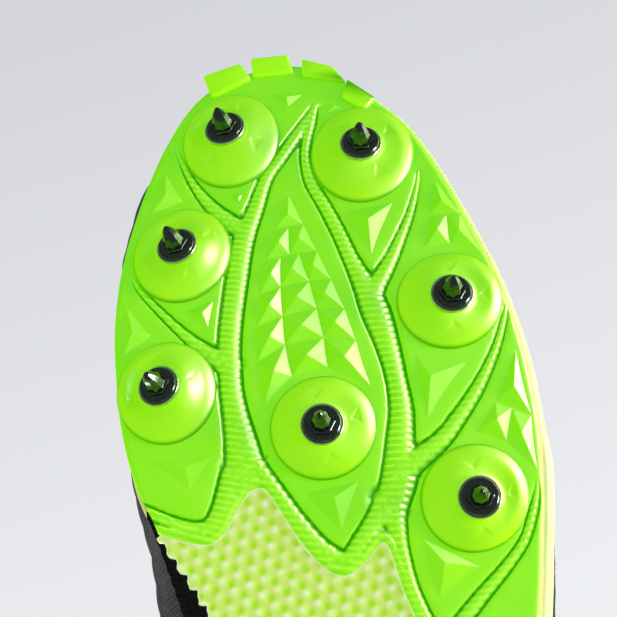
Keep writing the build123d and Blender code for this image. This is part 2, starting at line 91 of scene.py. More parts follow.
# ------------------------------------------------------------------ the sole's line, in millimetres
BALL_Y, BALL_LEVEL, SPRING_RADIUS, SPRING_END_Y = 42.0, 11.4, 185.0, 92.0
ARCH_RISE, HEEL_FRONT_Y, HEEL_LEVEL = 5.0, -75.0, 12.0
HEEL_BEVEL_Y, HEEL_BEVEL_RUN, HEEL_BEVEL = -122.0, 23.0, 4.0
PLATE, FILL_PITCH = 3.8, 1.3
FOAM_TOE, FOAM_HEEL, FOAM_RISE_Y, FOAM_RISE_RUN = 4.2, 12.5, 40.0, 125.0
WINDOW_RECESS = 1.2
CHANNEL_DEPTH, RIB_HEIGHT, RIB_PITCH = 1.5, 0.12, 1.63

SPIKE_COUNT = 7
POD_RADIUS, POD_HEIGHT, WASHER_HALF = 12.2, 2.8, 0.3
HEEL_STUDS = [(17.5, -84.0), (-19.0, -86.0), (15.0, -119.0), (-16.5, -119.5)]
SOLE_OUTLINE = [
    (0, -144), (20, -136), (31.5, -112), (30.5, -72), (29, -32), (35.6, -2), (41.4, 20),
    (45.8, 32), (48.3, 46), (48.9, 62), (48.5, 74), (46.3, 89), (42.2, 104), (38.2, 115),
    (34.6, 123), (29.6, 131.5), (24, 137.3), (16.5, 140.9), (8, 142.6), (0.5, 142), (-6.5, 138.6),
    (-13.4, 133), (-18.2, 128.6), (-26, 118.6), (-32.9, 103.8), (-39.2, 87), (-44.1, 72),
    (-48.2, 52), (-49.4, 30), (-46.7, 4), (-41.5, -30), (-36.5, -70), (-33.5, -112), (-20.5, -136),
]
PLATE_REAR = [
    (50, 20), (42.6, 19.9), (37, 18), (30.4, 16.2), (26, 18.3), (23.3, 22.3), (19.6, 27),
    (16.9, 27.8), (14.7, 26.4), (8.3, 14.5), (3.4, 8), (-1.2, 5.6), (-6, 8.2), (-9.6, 11.8),
    (-11.2, 12), (-12.4, 9), (-14.8, -1), (-19.5, -13), (-29, -26), (-42, -34), (-52, -36),
]
WINDOW_MEDIAL = [(42.6, 21), (31.5, 0.5), (25.5, -18), (23.5, -38), (26, -58), (31, -74)]
HEEL_FRONT = [(-60, -74), (-20, -68), (0, -74), (20, -68), (60, -74)]

# ribbed channels of the forefoot: centre line points with the half width there
CHANNELS = [
    [(-3.3, 129.7, 0.3), (-0.8, 125.2, 1.3), (3.3, 119, 1.75), (6.6, 114.2, 1.8), (10.2, 108.9, 1.9),
     (13.2, 100.5, 2.3), (16.5, 92, 3), (18.4, 82, 3), (21, 66, 3), (21.5, 54, 3), (20.9, 46, 3.3),
     (19.9, 37, 4.4), (19.6, 28, 5.5)],
    [(33.1, 124, 0.3), (31, 116.7, 0.7), (28.1, 109.5, 1.2), (23.8, 102.4, 1.9), (18.1, 96, 2.6)],
    [(44.8, 86.5, 0.3), (42, 80.9, 0.8), (37.6, 74.9, 1.1), (32.3, 68.4, 1.4), (27.5, 63.3, 2.1),
     (21.7, 58.5, 3)],
    [(-3.3, 129.7, 0.3), (-1.9, 124.8, 1.3), (-0.4, 119, 1.35), (0.3, 113.5, 1.35), (-0.7, 106.4, 1.6),
     (-3.9, 98.6, 1.8), (-6.7, 91, 1.9), (-9.1, 83.5, 2.1), (-12, 75.4, 2.9), (-14.2, 68, 3.6), (-16.2, 59.3, 3),
     (-17.5, 50.8, 2.6), (-18, 42.5, 3), (-17, 34.6, 3.6), (-16, 26.9, 4.4), (-13.2, 19.5, 4)],
    [(-27.1, 105, 0.3), (-26.3, 100.3, 0.7), (-24.2, 93.3, 1.1), (-21.3, 86.6, 1.5), (-18.5, 80.9, 2),
     (-14.2, 74, 2.8)],
    [(-44.8, 65.1, 0.3), (-44.1, 62.2, 0.8), (-41.9, 56, 1.1), (-38.9, 50.1, 1.4), (-35.3, 44.4, 1.8),
     (-30.9, 38.9, 2.1), (-26.5, 34.2, 2.4), (-18.5, 29, 3.2)],
    [(-13.2, 21, 4.2), (-14.5, 14, 2.2), (-15, 9, 1.8), (-16.6, 0, 1.7), (-20.5, -10, 1.8),
     (-27, -18.5, 1.8), (-36, -25.5, 1.8)],
    [(-13.2, 21, 4), (-9.2, 17, 2.7), (-6, 13, 2.6), (-1.8, 9, 2.5), (3.4, 12, 2.6), (8.4, 18.7, 2.5),
     (12.3, 25, 2.5), (16.3, 31.3, 2.8), (19.9, 35, 4)],
    [(-47.4, 21.5, 0.3), (-46.9, 18.8, 0.8), (-45.7, 15.1, 1.2), (-43, 9, 1.3), (-38.1, 3.3, 1.5),
     (-33, -1.5, 1.8), (-29.2, -5.3, 2), (-24, -10.5, 2.1), (-20.5, -12.5, 1.8)],
    [(45.5, 27, 1), (37.7, 21.9, 1.7), (32.3, 19.8, 2.1), (28.5, 20.3, 2.6), (25.5, 24, 3.1),
     (22, 31, 4)],
]
# channels of the heel plate, in the same manner
HEEL_CHANNELS = [
    [(0, -70, 3.2), (0, -78, 2.6), (-0.5, -92, 2.0), (-1, -104, 2.4), (-0.5, -116, 2.0), (0, -128, 1.2),
     (0, -137, 0.3)],
    [(-1, -103, 2.2), (-10, -102, 1.9), (-20, -101.5, 1.4), (-30, -103, 0.3)],
    [(-1, -103, 2.2), (9, -101, 1.9), (19, -100, 1.4), (28.5, -101, 0.3)],
]

# raised facets on the plate: the base's corners, the apex, the rise
FACETS = [
    ([(35.3, 114.4), (31.0, 104.9), (39.2, 102.2)], None, 1.15),
    ([(45.8, 77.5), (39.6, 68.0), (47.0, 63.7)], None, 1.0),
    ([(18.8, 104.9), (16.0, 105.1), (17.1, 102.6)], None, 0.45),
    ([(31.4, 73.6), (24.2, 75.9), (26.0, 68.6)], None, 0.95),
    ([(8.4, 134.6), (-0.2, 132.9), (3.8, 129.5)], None, 0.85),
    ([(-7.1, 129.7), (-9.5, 127.2), (-5.6, 126.2)], None, 0.5),
    ([(-8.9, 96.1), (-20.5, 97.4), (-14.2, 82.8)], (-14.2, 93.0), 1.35),
    ([(-22.5, 55.4), (-34.4, 52.2), (-23.8, 39.1)], (-25.6, 49.4), 1.35),
    ([(6.1, 25.2), (-6.6, 26.6), (-1.4, 15.7)], (-0.7, 23.2), 1.3),
    ([(-19.6, 12.1), (-32.3, 4.0), (-22.4, -2.0)], (-24.4, 5.6), 1.3),
    ([(41.8, 36.7), (26.3, 36.6), (32.9, 28.5)], (33.6, 34.2), 0.6),
    ([(5.0, 103.5), (8.7, 93.9), (1.7, 94.2)], None, 1.3),
    ([(8.7, 93.7), (5.3, 93.8), (5.4, 86.1), (11.3, 85.2)], None, 1.35),
    ([(5.3, 93.8), (1.7, 94.1), (-1.2, 86.1), (5.4, 86.1)], None, 1.35),
    ([(-30.9, 102.6), (-29.3, 92.7), (-36.4, 91.8)], None, 1.25),
    ([(-29.0, 92.2), (-33.1, 92.2), (-33.2, 83.6), (-27.1, 83.3)], None, 1.35),
    ([(-33.1, 92.2), (-36.3, 91.7), (-40.3, 80.6), (-33.2, 83.6)], None, 1.35),
    ([(-46.1, 54.3), (-40.1, 42.0), (-48.0, 37.6)], None, 1.3),
    ([(-39.9, 41.5), (-43.6, 39.8), (-41.6, 32.0), (-34.7, 35.0)], None, 1.4),
    ([(-43.7, 39.5), (-47.9, 37.3), (-47.9, 24.3), (-41.6, 32.0)], None, 1.4),
    ([(13, -76), (21, -74), (25, -80)], None, 0.8),
    ([(-12, -76), (-25, -80), (-20, -74)], None, 0.8),
    ([(6.0, -108), (-5.5, -108), (0, -98)], None, 0.9),
]
FACET_ROWS = [
    [(11.3, 85.2), (7.6, 85.4), (3.1, 86.0), (-1.2, 86.1)],
    [(13.3, 75.9), (8.0, 77.4), (1.1, 78.0), (-4.2, 77.9)],
    [(14.4, 67.3), (8.0, 69.5), (-0.3, 70.5), (-6.9, 69.5)],
    [(15.0, 58.0), (7.9, 62.0), (-1.4, 62.7), (-9.0, 60.9)],
    [(14.0, 46.9), (6.8, 53.7), (-1.8, 54.9), (-11.6, 48.7)],
]
TOE_TABS = [
    [(24.9, 142.0), (15.2, 144.6), (12.6, 139.2), (22.8, 134.8)],
    [(12.6, 145.6), (3.0, 145.4), (1.8, 139.4), (12.1, 139.6)],
    [(-0.3, 143.6), (-8.2, 140.0), (-11.2, 134.6), (-0.4, 138.2)],
    [(-11.6, 135.6), (-18.4, 128.6), (-15.4, 125.4), (-9.8, 130.4)],
]


def sole_level(y):
    """Height of the plate's faces above the ground, in millimetres."""
    y = np.asarray(y, float)
    run = np.clip(y, BALL_Y, SPRING_END_Y) - BALL_Y
    spring = BALL_LEVEL + run**2 / (2 * SPRING_RADIUS) + (np.maximum(y, BALL_Y) - BALL_Y - run) * run / SPRING_RADIUS
    share = (BALL_Y - y) / (BALL_Y - HEEL_FRONT_Y)
    arch = BALL_LEVEL + ARCH_RISE * np.sin(np.pi * share) ** 2 + (HEEL_LEVEL - BALL_LEVEL) * share
    heel = HEEL_LEVEL + HEEL_BEVEL * (np.maximum(0, HEEL_BEVEL_Y - y) / HEEL_BEVEL_RUN) ** 2
    return np.where(y > BALL_Y, spring, np.where(y > HEEL_FRONT_Y, arch, heel))


def plate_top(y):
    return sole_level(y) + PLATE


def foam_top(y):
    """Height of the midsole's top above the plate's faces."""
    share = np.clip((FOAM_RISE_Y - np.asarray(y, float)) / FOAM_RISE_RUN, 0, 1)
    return PLATE + FOAM_TOE + (FOAM_HEEL - FOAM_TOE) * share**2 * (3 - 2 * share)


def ease(x, low, high):
    t = np.clip((x - low) / (high - low), 0, 1)
    return t * t * (3 - 2 * t)


def unit(grid):
    return grid / np.linalg.norm(grid, axis=-1, keepdims=True)


# ------------------------------------------------------------------ lines
def tangents(line):
    """Unit directions along a closed line."""
    ahead = np.roll(line, -1, axis=0) - np.roll(line, 1, axis=0)
    return ahead / np.linalg.norm(ahead, axis=1)[:, None]


def run_along(line):
    """How far along a line each of its points lies."""
    return np.concatenate([[0], np.cumsum(np.linalg.norm(np.diff(line, axis=0), axis=1))])


def at_distance(where, along, values):
    """Rows of values, known at the distances along, at other distances."""
    return np.column_stack([np.interp(where, along, column) for column in values.T])


def evened(values, times):
    """Values smoothed along their first axis, the ends left as they are."""
    for _ in range(times):
        values[1:-1] = (values[:-2] + 2 * values[1:-1] + values[2:]) / 4
    return values


def smooth_line(points, step, closed=False):
    """A Catmull-Rom line through the points, sampled about every step."""
    p = np.asarray(points, float)
    count = len(p)
    if closed:
        p = np.vstack([p[-1], p, p[0], p[1]])
        spans = count
    else:
        p = np.vstack([2 * p[0] - p[1], p, 2 * p[-1] - p[-2]])
        spans = count - 1
    rows = []
    for i in range(spans):
        a, b, c, d = p[i:i + 4]
        n = max(2, int(np.linalg.norm((c - b)[:2]) / step))
        t = (np.arange(n) / n)[:, None]
        rows.append(0.5 * (2 * b + (c - a) * t + (2 * a - 5 * b + 4 * c - d) * t**2 + (3 * b - 3 * c + d - a) * t**3))
    if not closed:
        rows.append(p[-2][None])
    return np.vstack(rows)


def inside(points, polygon):
    """Which points lie inside a polygon."""
    x, y = points[:, 0], points[:, 1]
    found = np.zeros(len(points), bool)
    a = np.asarray(polygon, float)
    b = np.roll(a, -1, axis=0)
    for (ax, ay), (bx, by) in zip(a, b):
        if ay == by:
            continue
        crosses = (ay > y) != (by > y)
        found ^= crosses & (x < (bx - ax) * (y - ay) / (by - ay) + ax)
    return found


def nearest(points, line, chunk=4000):
    """Index of the line's nearest sample to each point, and its distance."""
    index = np.empty(len(points), int)
    away = np.empty(len(points))
    for k in range(0, len(points), chunk):
        part = points[k:k + chunk, None, :2] - line[None, :, :2]
        d2 = part[..., 0] ** 2 + part[..., 1] ** 2
        index[k:k + chunk] = d2.argmin(1)
        away[k:k + chunk] = np.sqrt(d2.min(1))
    return index, away


def edge_distance(points, line):
    """Distance to a closed line, measured along its normals."""
    index, away = nearest(points, line)
    ahead = tangents(line)
    rel = points[:, :2] - line[index]
    across = np.abs(rel[:, 0] * ahead[index, 1] - rel[:, 1] * ahead[index, 0])
    return np.where(away < 1.0, across, away)


def rib_run(points):
    """Distance across the ribs, which bow a little over the sole."""
    return points[:, 1] - 0.2 * points[:, 0] - 0.0025 * points[:, 0] ** 2


class Strips:
    """Ribbed channels along smooth centre lines of (x, y, half width)."""

    def __init__(self, lines):
        self.lines = [smooth_line(line, 0.4) for line in lines]
        self.along = [run_along(line[:, :2]) for line in self.lines]
        self.ahead = [unit(np.gradient(line[:, :2], axis=0)) for line in self.lines]

    def at(self, points):
        """Signed distance from the edge, the half width there, and the nearest channel."""
        best = np.full(len(points), 1e9)
        wide, which, blended = np.zeros(len(points)), np.zeros(len(points), int), np.zeros(len(points))
        for number, line in enumerate(self.lines):
            index, away = nearest(points, line)
            rel = points[:, :2] - line[index, :2]
            ahead = self.ahead[number][index]
            t = rel[:, 0] * ahead[:, 0] + rel[:, 1] * ahead[:, 1]
            across = np.abs(rel[:, 0] * ahead[:, 1] - rel[:, 1] * ahead[:, 0])
            off = np.where(np.abs(t) < 0.6, across, away)
            signed = off - line[index, 2]
            blended += np.exp(-signed / 0.35)
            closer = signed < best
            best = np.where(closer, signed, best)
            wide = np.where(closer, line[index, 2], wide)
            which = np.where(closer, number, which)
        soft = -0.35 * np.log(np.maximum(blended, 1e-300))
        return np.where(best < 6, np.maximum(soft, best - 0.35), best), wide, which

    def depth(self, points):
        """How far the channels are cut into the plate's face."""
        d, wide, _ = self.at(points)
        full = CHANNEL_DEPTH * ease(wide, 0.0, 1.25)
        crown = np.minimum(full + 0.3, 1.25 * wide)
        share = np.clip(1 + d / np.maximum(wide, 0.2), 0, 1)
        turn = TAU * rib_run(points) / RIB_PITCH
        ribs = RIB_HEIGHT * (np.cos(turn) + 0.35 * np.cos(3 * turn))
        floor = full - crown * (1 - share**2.1) + ribs * (1 - share**6) * ease(wide, 0.6, 1.2)
        wall = full * (1 - ease(d, -0.02, 0.34)) + 0.10 * (1 - ease(d, 0.2, 1.3))
        return np.where(d < 0, floor, wall)

    def samples(self):
        """Points that follow the channels' edges and ribs."""
        found = []
        for number, line in enumerate(self.lines):
            side = np.column_stack([self.ahead[number][:, 1], -self.ahead[number][:, 0]])
            length = self.along[number][-1]
            for step, rows in ((0.15, (0, 0.35, 0.62, 0.8)), (0.2, (0.91, 0.985)), (0.4, None)):
                s = np.arange(0, length, step)
                centre = at_distance(s, self.along[number], line)
                normal = unit(at_distance(s, self.along[number], side))
                if rows is None:
                    offsets = [centre[:, 2] + x for x in (0.05, 0.14, 0.24, 0.36, 0.6, 1.0, 1.5)]
                else:
                    offsets = [centre[:, 2] * x for x in rows]
                for k, offset in enumerate(offsets):
                    for sign in (-1, 1) if rows is None or k else (1,):
                        points = centre[:, :2] + normal * (sign * offset)[:, None]
                        d, _, which = self.at(points)
                        keep = np.abs(d - (offset - centre[:, 2])) < 0.12
                        keep |= (which == number) & (d < -0.1)
                        found.append(points[keep])
        return np.vstack(found)


def hex_points(low, high, pitch):
    """A hexagonal grid over a rectangle."""
    rows = []
    y, odd = low[1], 0
    while y < high[1]:
        x = np.arange(low[0] + odd * pitch / 2, high[0], pitch)
        rows.append(np.column_stack([x, np.full(len(x), y)]))
        y, odd = y + pitch * math.sqrt(3) / 2, 1 - odd
    return np.vstack(rows)


def thin_out(points, gap):
    """Drops points that share a small cell with an earlier one."""
    cells = np.floor(points / gap).astype(int)
    _, keep = np.unique(cells, axis=0, return_index=True)
    return points[np.sort(keep)]


# ------------------------------------------------------------------ meshes
def new_object(name, vertices, faces, material, body="shoe"):
    """A mesh object in metres from points in millimetres."""
    mesh = bpy.data.meshes.new(name)
    mesh.from_pydata((np.asarray(vertices, float) * MM).tolist(), [], [list(map(int, f)) for f in faces])
    mesh.update()
    mesh.materials.append(material)
    mesh.polygons.foreach_set("use_smooth", [True] * len(mesh.polygons))
    obj = bpy.data.objects.new(name, mesh)
    bpy.context.scene.collection.objects.link(obj)
    if body is not None:
        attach(obj, body)
    return obj


def band_faces(rings, count, closed=False):
    """Faces between rings of count points each; closed joins the last ring to the first."""
    faces = []
    for i in range(rings if closed else rings - 1):
        j = (i + 1) % rings
        for k in range(count):
            n = (k + 1) % count
            faces.append((i * count + k, i * count + n, j * count + n, j * count + k))
    return faces


def cap_faces(line):
    """Faces that fill a closed plane line, as indices of its points."""
    count = len(line)
    _, _, caps, _, _, _ = delaunay_2d_cdt([Vector(p) for p in line.tolist()], [], [list(range(count))], 1, 1e-5)
    return [face for face in caps if max(face) < count]


def square_to(axis):
    """Two unit vectors square to an axis, the first as near to x as it can be."""
    across = Vector((1, 0, 0))
    across = (across - axis * across.dot(axis)).normalized()
    return across, axis.cross(across)


def fix_normals(obj):
    bm = bmesh.new()
    bm.from_mesh(obj.data)
    bmesh.ops.recalc_face_normals(bm, faces=bm.faces)
    bm.to_mesh(obj.data)
    bm.free()


def apply_modifiers(obj):
    """Replaces the object's mesh with its evaluated one."""
    graph = bpy.context.evaluated_depsgraph_get()
    mesh = bpy.data.meshes.new_from_object(obj.evaluated_get(graph))
    obj.modifiers.clear()
    obj.data = mesh


def bevel(obj, width, segments=2, angle=25.0):
    """Rounds the sharp edges; width in millimetres."""
    modifier = obj.modifiers.new("bevel", "BEVEL")
    modifier.width = width * MM
    modifier.segments = segments
    modifier.limit_method = "ANGLE"
    modifier.angle_limit = math.radians(angle)
    modifier.use_clamp_overlap = True
    apply_modifiers(obj)
    obj.data.polygons.foreach_set("use_smooth", [True] * len(obj.data.polygons))
    return obj


def relief(name, boundary, depth, points, material, edge_round=1.2, slot="plate"):
    """A plate whose underside is a relief over a closed outline.

    depth(points) is how far the underside lies above the plate's faces; points are where it needs detail.
    """
    boundary = np.asarray(boundary, float)
    ahead = tangents(boundary)
    inward = np.column_stack([-ahead[:, 1], ahead[:, 0]])
    rings = [boundary + inward * offset for offset in (0.12, 0.3, 0.55, 0.9, 1.3, 1.8)]
    fill = hex_points(boundary.min(0), boundary.max(0), FILL_PITCH)
    dense = thin_out(np.vstack([points, *rings]), 0.16)
    taken = {tuple(c) for c in np.floor(dense / 0.8).astype(int)}
    near = np.array([tuple(c) in taken for c in np.floor(fill / 0.8).astype(int)])
    free = np.vstack([dense, fill[~near]])
    free = free[inside(free, boundary)]
    free = free[edge_distance(free, boundary) > 0.1]
    count = len(boundary)
    flat = [Vector(p) for p in np.vstack([boundary, free]).tolist()]
    verts, _, faces, _, _, _ = delaunay_2d_cdt(flat, [], [list(range(count))], 1, 1e-5)
    plan = np.array([v[:] for v in verts])
    short = np.maximum(edge_round - edge_distance(plan, boundary), 0)
    rounding = edge_round - np.sqrt(np.maximum(edge_round**2 - short**2, 0))
    under = np.column_stack([plan, sole_level(plan[:, 1]) + np.maximum(depth(plan), rounding)])
    rim = list(range(count))
    if np.abs(plan[:count] - boundary).max() > 1e-3:
        rim = [int(np.linalg.norm(plan - b, axis=1).argmin()) for b in boundary]
    lip = np.column_stack([boundary, plate_top(boundary[:, 1])])
    middle = lip.copy()
    middle[:, 2] = (lip[:, 2] + under[rim][:, 2]) / 2
    base = len(under)
    skirt = []
    for i in range(count):
        j = (i + 1) % count
        skirt.append((rim[i], rim[j], base + j, base + i))
        skirt.append((base + i, base + j, base + count + j, base + count + i))
    cap = [[base + count + i for i in face] for face in cap_faces(boundary)]
    down = [list(f)[::-1] for f in faces]
    obj = new_object(name, np.vstack([under, middle, lip]), down + skirt + cap, material)
    fix_normals(obj)
    return obj


# ------------------------------------------------------------------ materials
class Nodes:
    """A node tree and the means to build it up."""

    def __init__(self, tree):
        self.tree = tree

    def add(self, kind, inputs=None, **props):
        node = self.tree.nodes.new(kind)
        for key, value in props.items():
            setattr(node, key, value)
        for key, value in (inputs or {}).items():
            self.feed(node.inputs[key], value)
        return node

    def feed(self, socket, value):
        if isinstance(value, bpy.types.NodeSocket):
            self.link(value, socket)
        else:
            socket.default_value = value

    def link(self, source, target):
        self.tree.links.new(source, target)

    def math(self, kind, a, b=0.0, clamp=False):
        return self.add("ShaderNodeMath", {0: a, 1: b}, operation=kind, use_clamp=clamp).outputs[0]

    def span(self, value, low, high, to_low=0.0, to_high=1.0):
        """The value brought from the first range to the second, and held within it."""
        return self.add("ShaderNodeMapRange", {"Value": value, "From Min": low, "From Max": high, "To Min": to_low,
                                               "To Max": to_high}).outputs["Result"]

    def mix(self, share, a, b):
        """From colour a to colour b."""
        return self.add("ShaderNodeMix", {0: share, 6: a, 7: b}, data_type="RGBA").outputs[2]


class Paint(Nodes):
    """A node material, built up from its Principled shader."""

    def __init__(self, name, **sockets):
        self.material = bpy.data.materials.new(name)
        self.material.use_nodes = True
        super().__init__(self.material.node_tree)
        self.tree.nodes.clear()
        self.shader = self.add("ShaderNodeBsdfPrincipled")
        self.output = self.add("ShaderNodeOutputMaterial", {"Surface": self.shader.outputs[0]})
        self.set(**sockets)
        self.place = self.add("ShaderNodeTexCoord").outputs["Object"]

    def set(self, **sockets):
        for key, value in sockets.items():
            self.feed(self.shader.inputs[key.replace("_", " ")], value)

    def noise(self, scale, detail=3.0, rough=0.55, where=None):
        return self.add("ShaderNodeTexNoise", {"Vector": where or self.place, "Scale": scale, "Detail": detail,
                                               "Roughness": rough}).outputs["Fac"]

    def cells(self, scale):
        return self.add("ShaderNodeTexVoronoi", {"Vector": self.place, "Scale": scale}).outputs["Distance"]

    def stretch(self, x=1.0, y=1.0, z=1.0, turn=(0, 0, 0)):
        return self.add("ShaderNodeMapping", {"Vector": self.place, "Scale": (x, y, z),
                                              "Rotation": tuple(math.radians(a) for a in turn)}).outputs["Vector"]

    def attribute(self, name):
        return self.add("ShaderNodeAttribute", attribute_name=name).outputs["Fac"]

    def bump(self, height, strength=0.3, distance=0.0002, below=None):
        inputs = {"Height": height, "Strength": strength, "Distance": distance}
        if below is not None:
            inputs["Normal"] = below
        return self.add("ShaderNodeBump", inputs).outputs["Normal"]


def rgb(r, g, b):
    """Linear colour from display values of 0 to 255."""
    return tuple(((c / 255 + 0.055) / 1.055) ** 2.4 if c > 10.3 else c / 255 / 12.92 for c in (r, g, b)) + (1.0,)


def neon_rubber(name, light, deep, glow, gloss=0.43):
    """Neon moulded rubber with a painted glow, painted shade in its grooves and a painted highlight on its rib crests,
    with a fine moulding grain and faint scuffs.
    """
    p = Paint(name, Roughness=gloss, Subsurface_Weight=0.25, Subsurface_Scale=0.0016, Coat_Roughness=0.3,
              Emission_Strength=1.0)
    p.set(Subsurface_Radius=(0.8, 1.0, 0.15))
    cloud = p.span(p.noise(55, 4, 0.6), 0.35, 0.65)
    colour = p.mix(p.math("MULTIPLY", cloud, 0.35), light, deep)
    # painted shade: darker colour, a dimmer glow and less shine in the grooves; painted highlight: a brighter glow on
    # the rib crests; the emission itself is a painted glow
    painted_shade = p.math("MULTIPLY", p.attribute("painted_shade"), 0.95, True)
    colour = p.mix(painted_shade, colour, (0.05, 0.38, 0.0, 1))
    lit = p.mix(p.attribute("rib_highlight"), glow, (0.17, 0.58, 0.03, 1))
    p.set(Base_Color=colour, Emission_Color=p.mix(painted_shade, lit, tuple(c * 0.4 for c in glow[:3]) + (1.0,)))
    p.set(Specular_IOR_Level=p.span(painted_shade, 0, 1, 0.35, 0.05), Coat_Weight=p.span(painted_shade, 0, 1, 0.2, 0.0))
    scuff = p.span(p.noise(900, 2, 0.7, p.stretch(1, 0.25, 1, (0, 0, 20))), 0.62, 0.75)
    p.set(Roughness=p.math("ADD", p.span(p.noise(140, 3), 0.3, 0.7, gloss - 0.05, gloss + 0.07),
                           p.math("MULTIPLY", scuff, 0.06)))
    p.set(Normal=p.bump(p.noise(3200, 2, 0.6), 0.12, 0.00006))
    return p.material


def film_paint():
    """Clear textured film over the arch: a painted highlight on each boss and along the rim, deeper-coloured dots
    between them, and a painted glow.
    """
    p = Paint("window_film", Roughness=0.22, Specular_IOR_Level=0.6, Subsurface_Weight=0.3, Subsurface_Scale=0.001,
              Coat_Weight=0.35, Coat_Roughness=0.12, Emission_Strength=1.0)
    p.set(Subsurface_Radius=(0.8, 1.0, 0.4))
    dot, boss = p.attribute("dot"), p.attribute("boss")
    grain = p.span(p.noise(420, 3, 0.6), 0.3, 0.7)
    ground = p.mix(grain, rgb(196, 232, 90), rgb(222, 244, 150))
    painted_highlight = p.math("MULTIPLY", boss, p.span(grain, 0, 1, 0.3, 1.0))
    colour = p.mix(painted_highlight, ground, rgb(246, 252, 238))
    colour = p.mix(p.math("MULTIPLY", dot, p.span(grain, 0, 1, 0.8, 1.0)), colour, rgb(176, 226, 0))
    glow = p.mix(painted_highlight, (0.30, 0.44, 0.06, 1), (0.40, 0.50, 0.24, 1))
    p.set(Base_Color=colour, Emission_Color=p.mix(dot, glow, (0.19, 0.44, 0.0, 1)))
    p.set(Normal=p.bump(p.noise(1500, 3, 0.6), 0.25, 0.00012))
    return p.material


def chrome_paint():
    """Black-nickel plated steel with polishing marks and a patchy gloss."""
    p = Paint("black_chrome", Metallic=1.0, Roughness=0.16)
    marks = p.noise(2600, 3, 0.7, p.stretch(1, 1, 0.08))
    # the base colour is faintly green, a painted reflection of the green plate
    p.set(Base_Color=p.mix(p.span(marks, 0.4, 0.7), (0.07, 0.10, 0.075, 1), (0.15, 0.17, 0.155, 1)))
    p.set(Roughness=p.span(p.noise(700, 3), 0.3, 0.75, 0.09, 0.24))
    p.set(Normal=p.bump(marks, 0.06, 0.00003))
    return p.material


def bright_steel():
    p = Paint("bright_steel", Metallic=1.0, Roughness=0.25)
    p.set(Base_Color=p.mix(p.noise(900, 3), (0.55, 0.58, 0.5, 1), (0.82, 0.84, 0.8, 1)))
    p.set(Roughness=p.span(p.noise(500, 2), 0.3, 0.7, 0.16, 0.34))
    return p.material


def foam_paint():
    """Moulded foam of the midsole: a tight skin with fine pores."""
    p = Paint("midsole_foam", Roughness=0.5, Subsurface_Weight=0.35, Subsurface_Scale=0.002, Emission_Strength=1.0)
    p.set(Subsurface_Radius=(0.9, 1.0, 0.4))
    cloud = p.span(p.noise(60, 4), 0.3, 0.7)
    colour = p.mix(cloud, rgb(214, 248, 120), rgb(228, 252, 150))
    # painted shade in the sidewall's troughs; the emission is a painted glow that brightens the foam
    colour = p.mix(p.attribute("painted_shade"), colour, rgb(160, 238, 40))
    p.set(Base_Color=colour, Emission_Color=(0.14, 0.14, 0.05, 1))
    pores = p.cells(1500.0)
    p.set(Normal=p.bump(pores, 0.18, 0.00008), Roughness=p.span(p.noise(200), 0.3, 0.7, 0.42, 0.58))
    return p.material


# the glow colours are painted glow, emission that brightens the rubber itself
PLATE_LIGHT, PLATE_DEEP, PLATE_GLOW = (0.63, 0.95, 0.0, 1), (0.34, 0.78, 0.0, 1), (0.0, 0.44, 0.0, 1)
plate_paint = neon_rubber("neon_plate", PLATE_LIGHT, PLATE_DEEP, PLATE_GLOW)
# the pods' rubber is painted lighter and yellower than the plate's, a lit copy standing for the domes' highlights; the
# tabs' rubber is a little lighter with a stronger painted glow, a lit copy too
pod_paint = neon_rubber("neon_pod", (0.76, 0.95, 0.0, 1), PLATE_DEEP, (0.03, 0.46, 0.0, 1), 0.4)
tab_paint = neon_rubber("neon_tabs", (0.70, 0.96, 0.0, 1), (0.26, 0.70, 0.0, 1), (0.09, 0.56, 0.0, 1), 0.34)
film = film_paint()
chrome = chrome_paint()
steel = bright_steel()
foam = foam_paint()


# ------------------------------------------------------------------ the sole
def paint_attribute(obj, name, values):
    attribute = obj.data.attributes.new(name, "FLOAT", "POINT")
    attribute.data.foreach_set("value", np.asarray(values, np.float32))


def plan_of(obj):
    co = np.empty(len(obj.data.vertices) * 3)
    obj.data.vertices.foreach_get("co", co)
    return co.reshape(-1, 3) / MM


outline = smooth_line(SOLE_OUTLINE, 0.55, closed=True)
rear = smooth_line(PLATE_REAR, 0.4)
forward = inside(outline, np.vstack([rear, [(-60, 160), (60, 160)]]))
start = next(i for i in range(len(outline)) if forward[i] and not forward[i - 1])
front_run = np.roll(outline, -start, axis=0)[:forward.sum()]
rear_run = rear[inside(rear, outline)][::-1]
rear_run = rear_run[edge_distance(rear_run, outline) > 0.25]
forefoot_edge = np.vstack([front_run, rear_run])

rear_strip = [(x, y, 3.1) for x, y in PLATE_REAR[1:-1]]
front_strips = Strips(CHANNELS + [rear_strip])


def shade_by(obj, strips):
    """Painted shade in the grooves along the channels' edges, where they are cut deepest, and a painted highlight on
    the rib crests.
    """
    plan = plan_of(obj)
    d, _, _ = strips.at(plan)
    cut = plan[:, 2] - sole_level(plan[:, 1])
    low = cut < 1.9
    groove = ease(cut, 0.4, 1.1) * (1 - ease(np.abs(d + 0.15), 0.35, 1.1))
    paint_attribute(obj, "painted_shade", np.where(low, groove, 0.0))
    # painted highlight along the rib crests of the channel floors
    ridge = ease(-np.cos(TAU * rib_run(plan) / RIB_PITCH), 0.1, 0.9) * (1 - ease(d, -0.9, -0.2))
    paint_attribute(obj, "rib_highlight", np.where(low, ridge, 0.0))


forefoot = relief("forefoot_plate_relief", forefoot_edge, front_strips.depth, front_strips.samples(), plate_paint)
shade_by(forefoot, front_strips)
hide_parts("forefoot_plate")


